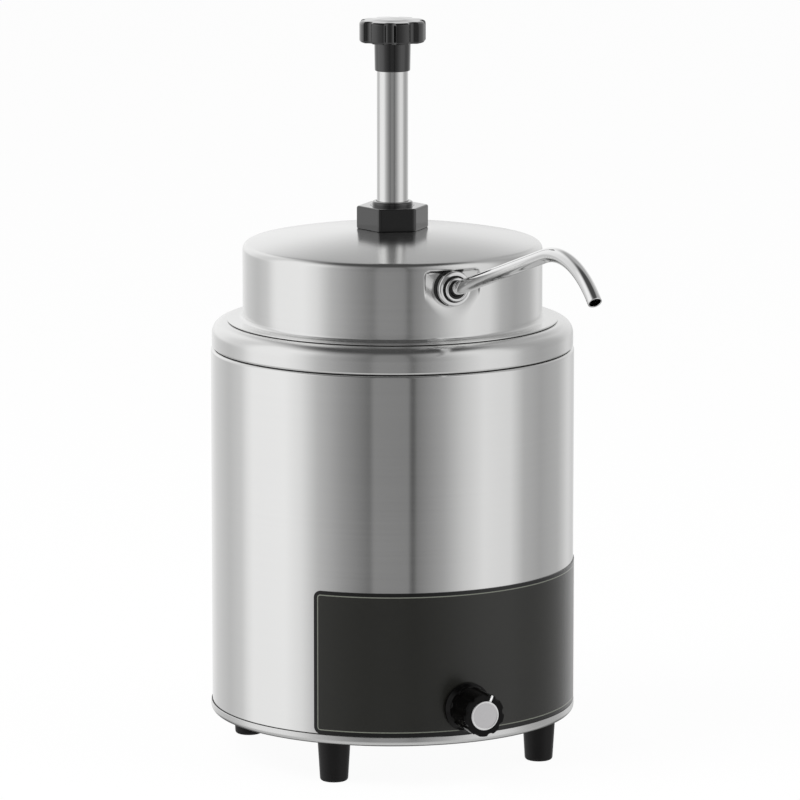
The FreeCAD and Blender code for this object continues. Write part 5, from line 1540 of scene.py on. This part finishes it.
@dataclass
class Dial:
    """The ribbed dial with its bright cap and white pointer."""

    height: float = 45.7
    seat_at: float = 106.15
    reach: float = 24.5
    skirt_radius: float = 14.0
    skirt: float = 1.6
    skirt_top: float = 4.0
    grip_radius: float = 12.3
    hollow: float = 11.0
    hollow_depth: float = 3.0
    flutes: int = 9
    flute_cutter: float = 2.0
    flute_depth: float = 1.0
    flute_wall: float = 1.2
    cap_radius: float = 8.4
    cap_height: float = 1.3
    cap_recess: float = 0.5
    cap_gap: float = 0.05
    cap_rim: float = 0.9
    cap_bevel: float = 0.2
    cap_dish: float = 0.15
    pointer_angle: float = 23.0
    pointer_width: float = 1.2
    pointer_length: float = 3.6
    pointer_gap: float = 0.15
    pointer_sink: float = 0.02
    pointer_stand: float = 0.25
    long_side: float = 4.0
    grip_rows: int = 24
    grip_sides: int = 324

    def axis(self, off: float) -> StraightAxis:
        """Stand the dial's axis at a distance out of its seat.

        Args:
            off: Distance in front of the seat in millimetres.

        Returns:
            The axis, turned so that angle 0 is at the pointer.
        """
        lean = math.radians(self.pointer_angle)
        across = Vector((math.sin(lean), 0, math.cos(lean)))
        return StraightAxis(Vector((0, -(self.seat_at + off), self.height)) * MM, FRONT, across)

    def grip(self) -> None:
        """Build the skirt and the fluted grip."""

        def fluted(radius: float, angle: float, height: float) -> float:
            """Cut the flutes, whose ends by the skirt are round.

            Args:
                radius: Radius of the outline there.
                angle: Angle round the axis in radians.
                height: Height along the axis.

            Returns:
                The radius with the flutes cut.
            """
            if radius < self.grip_radius - self.flute_wall or height < self.skirt_top:
                return radius
            into = min((height - self.skirt_top) / self.flute_cutter, 1.0)
            share = math.sqrt(1 - (1 - into) ** 2)
            off = nearest_turn(angle, self.flutes, math.pi / self.flutes)
            edge = notched(self.grip_radius, self.flute_cutter, self.flute_depth, off)
            return radius - (self.grip_radius - edge) * share

        recess, recess_floor = self.cap_radius + self.cap_gap, self.reach - self.cap_recess
        outline = rounded([
            (0, self.hollow_depth),
            (self.hollow, self.hollow_depth, 0.3),
            (self.hollow, 0, 0.2),
            (self.skirt_radius, 0, 0.3),
            (self.skirt_radius, self.skirt, 0.7),
            (self.grip_radius, self.skirt_top, 0.6),
            (self.grip_radius, self.reach, 0.6),
            (recess, self.reach, 0.25),
            (recess, recess_floor, 0.05),
            (0, recess_floor),
        ])
        extra = []
        for first, second in zip(outline, outline[1:] + outline[:1]):
            extra.append(first)
            rise = second[1] - first[1]
            if abs(rise) > self.long_side and first[0] > self.grip_radius - self.flute_depth:
                rows = range(1, self.grip_rows)
                extra.extend((first[0], first[1] + rise * row / self.grip_rows) for row in rows)
        piece = turned("dial_grip", extra, [self.axis(0)], even(self.grip_sides), fluted)
        seat(dress(piece, DIAL_BLACK), "dial", "black_plastic", ["control_dial"])

    def cap(self) -> None:
        """Build the bright cap with its turned rim."""
        rim, dish = self.cap_radius - self.cap_rim, self.cap_height - self.cap_dish
        outline = rounded([
            (0, 0),
            (self.cap_radius, 0, 0.1),
            (self.cap_radius, self.cap_height, 0.45),
            (rim, self.cap_height, 0.3),
            (rim - self.cap_bevel, dish, 0.3),
            (0, dish),
        ], 8)
        piece = turned("dial_disc", outline, [self.axis(self.reach - self.cap_recess)], even(PART_SIDES))
        seat(dress(piece, CAP_METAL), "dial", "polished_aluminium", ["dial_cap"])

    def pointer(self) -> None:
        """Build the white line, with rounded ends, on the dial's face."""
        origin, across, third = self.axis(self.reach).at(0)
        half, start = self.pointer_width / 2, self.cap_radius + self.pointer_gap
        finish = start + self.pointer_length
        arc = [math.pi * step / 8 for step in range(9)]
        rim = [(finish - half + half * math.sin(a), half * math.cos(a)) for a in arc]
        rim += [(start, -half), (start, half)]
        verts = []
        for lift in (-self.pointer_sink, self.pointer_stand):
            for along, side in rim:
                verts.append(origin + across * (along * MM) + third * (side * MM) + FRONT * (lift * MM))
        count = len(rim)
        faces = [tuple(range(count)), tuple(range(count, 2 * count))]
        faces += [(i, (i + 1) % count, (i + 1) % count + count, i + count) for i in range(count)]
        piece = new_object("dial_line", verts, faces)
        seat(dress(piece, WHITE_MARK), "dial", "white_paint", ["dial_pointer"])

    def build(self) -> None:
        """Build the grip, cap and pointer."""
        self.grip()
        self.cap()
        self.pointer()


@dataclass
class ReturnSpring:
    """The return spring, which closes up as the plunger goes down."""

    seat: float = 219.378
    room: float = 78.5
    stroke: float = 58.5
    clearance: float = 0.3

    def build(self, node: bpy.types.Object) -> None:
        """Build the coil in the shape of its CAD node.

        Args:
            node: The CAD node whose shape it takes.
        """
        coil = bpy.data.objects.new("pump_spring", node.data.copy())
        bpy.context.scene.collection.objects.link(coil)
        coil.matrix_world = node.matrix_world
        coil.data.shade_smooth()
        seat(dress(coil, TUBE_STEEL), "pump", "plain_steel", ["return_spring"])
        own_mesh(coil)


# CAD nodes that keep their own shape


INNER_FINISHES: dict[str, Finish] = {
    "foot_screws": ZINC,
    "foot_nuts": ZINC,
    "pan_brackets": PLAIN_STEEL,
    "pan_screws": ZINC,
    "insulation_sleeve": MAT,
    "heat_spreader": ALUMINIUM,
    "heating_element": DARK_SHEATH,
    "element_clamp": PLAIN_STEEL,
    "clamp_stud": ZINC,
    "clamp_nut": ZINC,
    "sensing_bulb": COPPER,
    "bulb_clip": PLAIN_STEEL,
    "capillary_tube": COPPER,
    "thermal_cutout": PLAIN_STEEL,
    "thermostat_body": WHITE_MOULDING,
    "thermostat_screws": ZINC,
    "thermostat_bracket": PLAIN_STEEL,
    "terminal_block": WHITE_MOULDING,
    "terminal_screws": BRASS,
    "heater_leads": LEAD_RED,
    "gland_nut": GLAND_BLACK,
    "dial_shaft": ZINC,
    "spout_bushing": PLAIN_STEEL,
    "spout_lock_nut": PLAIN_STEEL,
    "riser_tube": TUBE_STEEL,
    "riser_nut": PLAIN_STEEL,
    "wiper_seal": SILICONE,
    "pump_head": WHITE_MOULDING,
    "pump_cylinder": TUBE_STEEL,
    "spring_seat": WHITE_MOULDING,
    "plunger_foot": WHITE_MOULDING,
    "piston_rod": TUBE_STEEL,
    "piston": WHITE_MOULDING,
    "piston_seal": SILICONE,
    "piston_nut": PLAIN_STEEL,
    "valve_body": WHITE_MOULDING,
    "valve_gasket_ring": SILICONE,
    "ball_pins": PLAIN_STEEL,
    "suction_ball": TUBE_STEEL,
    "discharge_ball": TUBE_STEEL,
}


def dress_nodes(nodes: dict[str, bpy.types.Object]) -> None:
    """Give each CAD node that stays its finish and smooth shading.

    Args:
        nodes: The frame's nodes by name.
    """
    for name, finish in INNER_FINISHES.items():
        node = dress(nodes[name], finish)
        node.data.shade_smooth()
        node.data.set_sharp_from_angle(angle=math.radians(NODE_CREASE))
        LOG.info("%s keeps its own shape", name)


# Studio


class SkyNodes(Nodes):
    """The world's nodes, with the direction that each ray looks in."""

    def __init__(self, world: bpy.types.World, first: float) -> None:
        """Start the world's nodes.

        Args:
            world: The world.
            first: Bearing of the camera in radians.
        """
        super().__init__(world)
        way = self.add("ShaderNodeTexCoord").outputs["Generated"]
        turn = self.add("ShaderNodeMapping", {"Vector": way, "Rotation": (0, 0, first)})
        sweep = self.add("ShaderNodeTexGradient", {0: turn.outputs[0]}, gradient_type="RADIAL")
        self.round = sweep.outputs[1]
        self.height = self.add("ShaderNodeSeparateXYZ", {0: way}).outputs[2]

    def round_about(self, levels: Sequence[Point]) -> bpy.types.NodeSocket:
        """Give levels that change with the direction round from the camera.

        Args:
            levels: (degrees to the camera's right, level), in order.

        Returns:
            The level in the direction of the ray.
        """
        bands = self.add("ShaderNodeValToRGB", {0: self.round})
        ramp = bands.color_ramp
        ramp.elements.remove(ramp.elements[1])
        for index, (angle, level) in enumerate(levels):
            at = angle / 360 + 0.5
            stop = ramp.elements[0] if index == 0 else ramp.elements.new(at)
            stop.position = at
            stop.color = (level, level, level, 1)
        return bands.outputs[0]

    def step(self, value: bpy.types.NodeSocket, ends: Point) -> bpy.types.NodeSocket:
        """Rise smoothly from 0 to 1 between two ends."""
        inputs = {0: value, "From Min": ends[0], "From Max": ends[1]}
        return self.add("ShaderNodeMapRange", inputs, interpolation_type="SMOOTHSTEP").outputs[0]


@dataclass
class Surroundings:
    """The studio that metal mirrors: white to the camera, and plain for soft light.

    Angles are degrees round from the camera to its right. Heights are the sine of an elevation.

    Attributes:
        plain_level: How bright the world is for soft light.
        walls: How bright metal mirrors each wall.
        wall_tops: How high each wall stands.
        top_blur: How far a wall's top fades either way.
        ceiling: The ceiling over each wall.
        low_shares: How much of each wall's brightness is left below the object's height.
        low_ends: Between which heights that sets in.
        ground: The ground in each direction, bright in front of the object and dark far behind it.
        ground_ends: Between which heights the walls give way to it.
        zenith_level: The ceiling straight over the object.
        zenith_ends: Between which heights that sets in.
    """

    plain_level: float = 0.62
    walls: tuple[Point, ...] = (
        (-180, 0.93), (-155, 1.0), (-140, 0.95), (-125, 0.80), (-112, 0.76), (-100, 0.98), (-72, 1.0),
        (-60, 0.86), (-48, 0.54), (-32, 0.33), (-17, 0.19), (-14.5, 0.16), (-11.5, 0.26), (10.5, 0.24),
        (11.5, 0.12), (13.6, 0.08), (14.6, 0.20), (32, 0.40), (46, 0.67), (60, 0.86), (80, 0.80),
        (92, 0.50), (108, 0.41), (130, 0.50), (145, 0.72), (160, 0.82), (172, 0.86),
    )
    wall_tops: tuple[Point, ...] = (
        (-180, 0.34), (-150, 0.68), (-120, 0.88), (-70, 0.76), (-45, 0.72), (0, 0.85), (45, 0.86),
        (75, 0.88), (110, 0.94), (150, 0.46), (172, 0.35),
    )
    top_blur: float = 0.18
    ceiling: tuple[Point, ...] = (
        (-180, 0.46), (-150, 0.28), (-120, 0.10), (-90, 0.25), (-45, 0.20), (0, 0.06), (35, 0.10),
        (90, 0.19), (130, 0.42), (160, 0.46),
    )
    low_shares: tuple[Point, ...] = (
        (-180, 0.95), (-165, 0.90), (-152, 0.75), (-140, 0.70), (-128, 0.72), (-118, 0.84), (-106, 1.0),
        (150, 1.0), (162, 0.78), (172, 0.84),
    )
    low_ends: Point = (0.06, -0.14)
    ground: tuple[Point, ...] = (
        (-180, 0.08), (-150, 0.10), (-125, 0.50), (-60, 0.62), (60, 0.62), (120, 0.50), (150, 0.12),
        (175, 0.08),
    )
    ground_ends: Point = (-0.20, -0.45)
    zenith_level: float = 0.07
    zenith_ends: Point = (0.80, 0.95)

    def build(self, azimuth: float) -> None:
        """Make the world.

        Args:
            azimuth: Where the camera stands, in degrees round from the front.
        """
        world = bpy.data.worlds.new("studio")
        bpy.context.scene.world = world
        sky = SkyNodes(world, math.radians(90 + azimuth))
        over = sky.math("SUBTRACT", sky.height, sky.round_about(self.wall_tops))
        above = sky.step(over, (-self.top_blur, self.top_blur))
        room = sky.mix(above, sky.round_about(self.walls), sky.round_about(self.ceiling))
        low = sky.mix(sky.step(sky.height, self.low_ends), 1.0, sky.round_about(self.low_shares))
        room = sky.mix(1.0, room, low, "MULTIPLY")
        room = sky.mix(sky.step(sky.height, self.ground_ends), room, sky.round_about(self.ground))
        room = sky.mix(sky.step(sky.height, self.zenith_ends), room, self.zenith_level)
        path = sky.add("ShaderNodeLightPath")
        lit = sky.mix(path.outputs["Is Glossy Ray"], self.plain_level, room)
        seen = sky.mix(path.outputs["Is Camera Ray"], lit, 1.0)
        light = sky.add("ShaderNodeBackground", {0: seen})
        sky.add("ShaderNodeOutputWorld", {0: light.outputs[0]})


@dataclass(frozen=True)
class Lamp:
    """A soft square lamp that metal doesn't mirror.

    Attributes:
        name: Its name.
        angle: Degrees to the right of the camera.
        elevation: Degrees over the object.
        distance: Distance from the object in metres.
        size: Width in metres.
        power: Power in watts.
    """

    name: str
    angle: float
    elevation: float
    distance: float
    size: float
    power: float

    def hang(self, azimuth: float, aim: Vector) -> None:
        """Hang the lamp.

        Args:
            azimuth: Where the camera stands, in degrees round from the front.
            aim: What the lamp points at, in metres.
        """
        light = bpy.data.lights.new(self.name, "AREA")
        light.size = self.size
        light.energy = self.power
        thing = bpy.data.objects.new(self.name, light)
        bearing, rise = math.radians(self.angle - 90 - azimuth), math.radians(self.elevation)
        flat = math.cos(rise) * self.distance
        spot = Vector((math.cos(bearing) * flat, math.sin(bearing) * flat, math.sin(rise) * self.distance))
        thing.location = aim + spot
        thing.rotation_euler = spot.to_track_quat("Z", "Y").to_euler()
        thing.visible_glossy = False
        bpy.context.scene.collection.objects.link(thing)


@dataclass
class Studio:
    """Camera, floor, lamps and surroundings.

    Attributes:
        azimuth: Where the camera stands, in degrees to the left of the front.
        distance: Its distance from the body's axis in metres, seen from above.
        camera_height: Its height in metres.
        pitch: How far it looks down, in degrees.
        focal_pixels: Focal length in the picture's pixels.
        centre_pixel: Column of the picture that the lens's axis meets.
        frame_pixels: Width of the picture in pixels.
        sensor: Width of the sensor in millimetres.
        floor_half: Half the width of the floor in metres.
        floor_colour: Colour of the floor under the object's shadow.
        floor_share: How much of the floor the camera sees as plain white.
        aim_height: Height that the lamps point at, in metres.
        lamps: The lamps.
    """

    azimuth: float = 23.5
    distance: float = 3.5
    camera_height: float = 0.8288
    pitch: float = 10.10
    focal_pixels: float = 6139.0
    centre_pixel: float = 392.48
    frame_pixels: int = 800
    sensor: float = 36.0
    floor_half: float = 9.0
    floor_colour: Colour = (0.86, 0.86, 0.86)
    floor_share: float = 0.95
    aim_height: float = 0.2
    lamps: tuple[Lamp, ...] = (
        Lamp("key", -60, 48, 2.4, 1.4, 42),
        Lamp("fill", 70, 40, 2.6, 1.6, 22),
    )

    def camera(self) -> None:
        """Set the camera as the photograph was taken."""
        lens = bpy.data.cameras.new("camera")
        lens.sensor_width = self.sensor
        lens.lens = self.focal_pixels / self.frame_pixels * self.sensor
        lens.shift_x = (self.frame_pixels / 2 - self.centre_pixel) / self.frame_pixels
        lens.clip_end = 50
        eye = bpy.data.objects.new("camera", lens)
        side = math.radians(self.azimuth)
        eye.location = (-math.sin(side) * self.distance, -math.cos(side) * self.distance, self.camera_height)
        eye.rotation_euler = (math.radians(90 - self.pitch), 0, -side)
        bpy.context.scene.collection.objects.link(eye)
        bpy.context.scene.camera = eye

    def floor(self) -> None:
        """Lay the pale floor, white to the camera but for the object's soft shadow."""
        half = self.floor_half
        corners = [(-half, -half, 0), (half, -half, 0), (half, half, 0), (-half, half, 0)]
        ground = new_object("floor", corners, [(0, 1, 2, 3)])
        shader = Shader("pale_floor")
        shader.set(Base_Color=self.floor_colour, Roughness=0.9)
        glow = shader.add("ShaderNodeEmission", {"Color": (1, 1, 1, 1), "Strength": 1.0})
        path = shader.add("ShaderNodeLightPath")
        shown = shader.math("MAXIMUM", path.outputs["Is Camera Ray"], path.outputs["Is Transmission Ray"])
        share = shader.math("MULTIPLY", shown, self.floor_share)
        layers = {0: share, 1: shader.surface.outputs[0], 2: glow.outputs[0]}
        shader.feed(shader.output, 0, shader.add("ShaderNodeMixShader", layers).outputs[0])
        ground.data.materials.append(shader.material)
        ground.visible_glossy = False

    def build(self) -> None:
        """Set up the whole studio."""
        bpy.context.scene.view_settings.view_transform = "Standard"
        self.camera()
        self.floor()
        Surroundings().build(self.azimuth)
        for lamp in self.lamps:
            lamp.hang(self.azimuth, Vector((0, 0, self.aim_height)))
        LOG.info("studio ready")


def main() -> None:
    """Load the frame, build every sub-assembly round it, and set up the studio."""
    logging.basicConfig(level=logging.INFO, format="%(name)s: %(message)s")
    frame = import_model()
    for assembly in (Casing(), Well(), Lid(), Spout(), PumpTop(), Plunger(), Dial()):
        assembly.build()
        LOG.info("%s built", type(assembly).__name__)
    ReturnSpring().build(frame["nodes"]["return_spring"])
    dress_nodes(frame["nodes"])
    Studio().build()


if __name__ == "__main__":
    main()
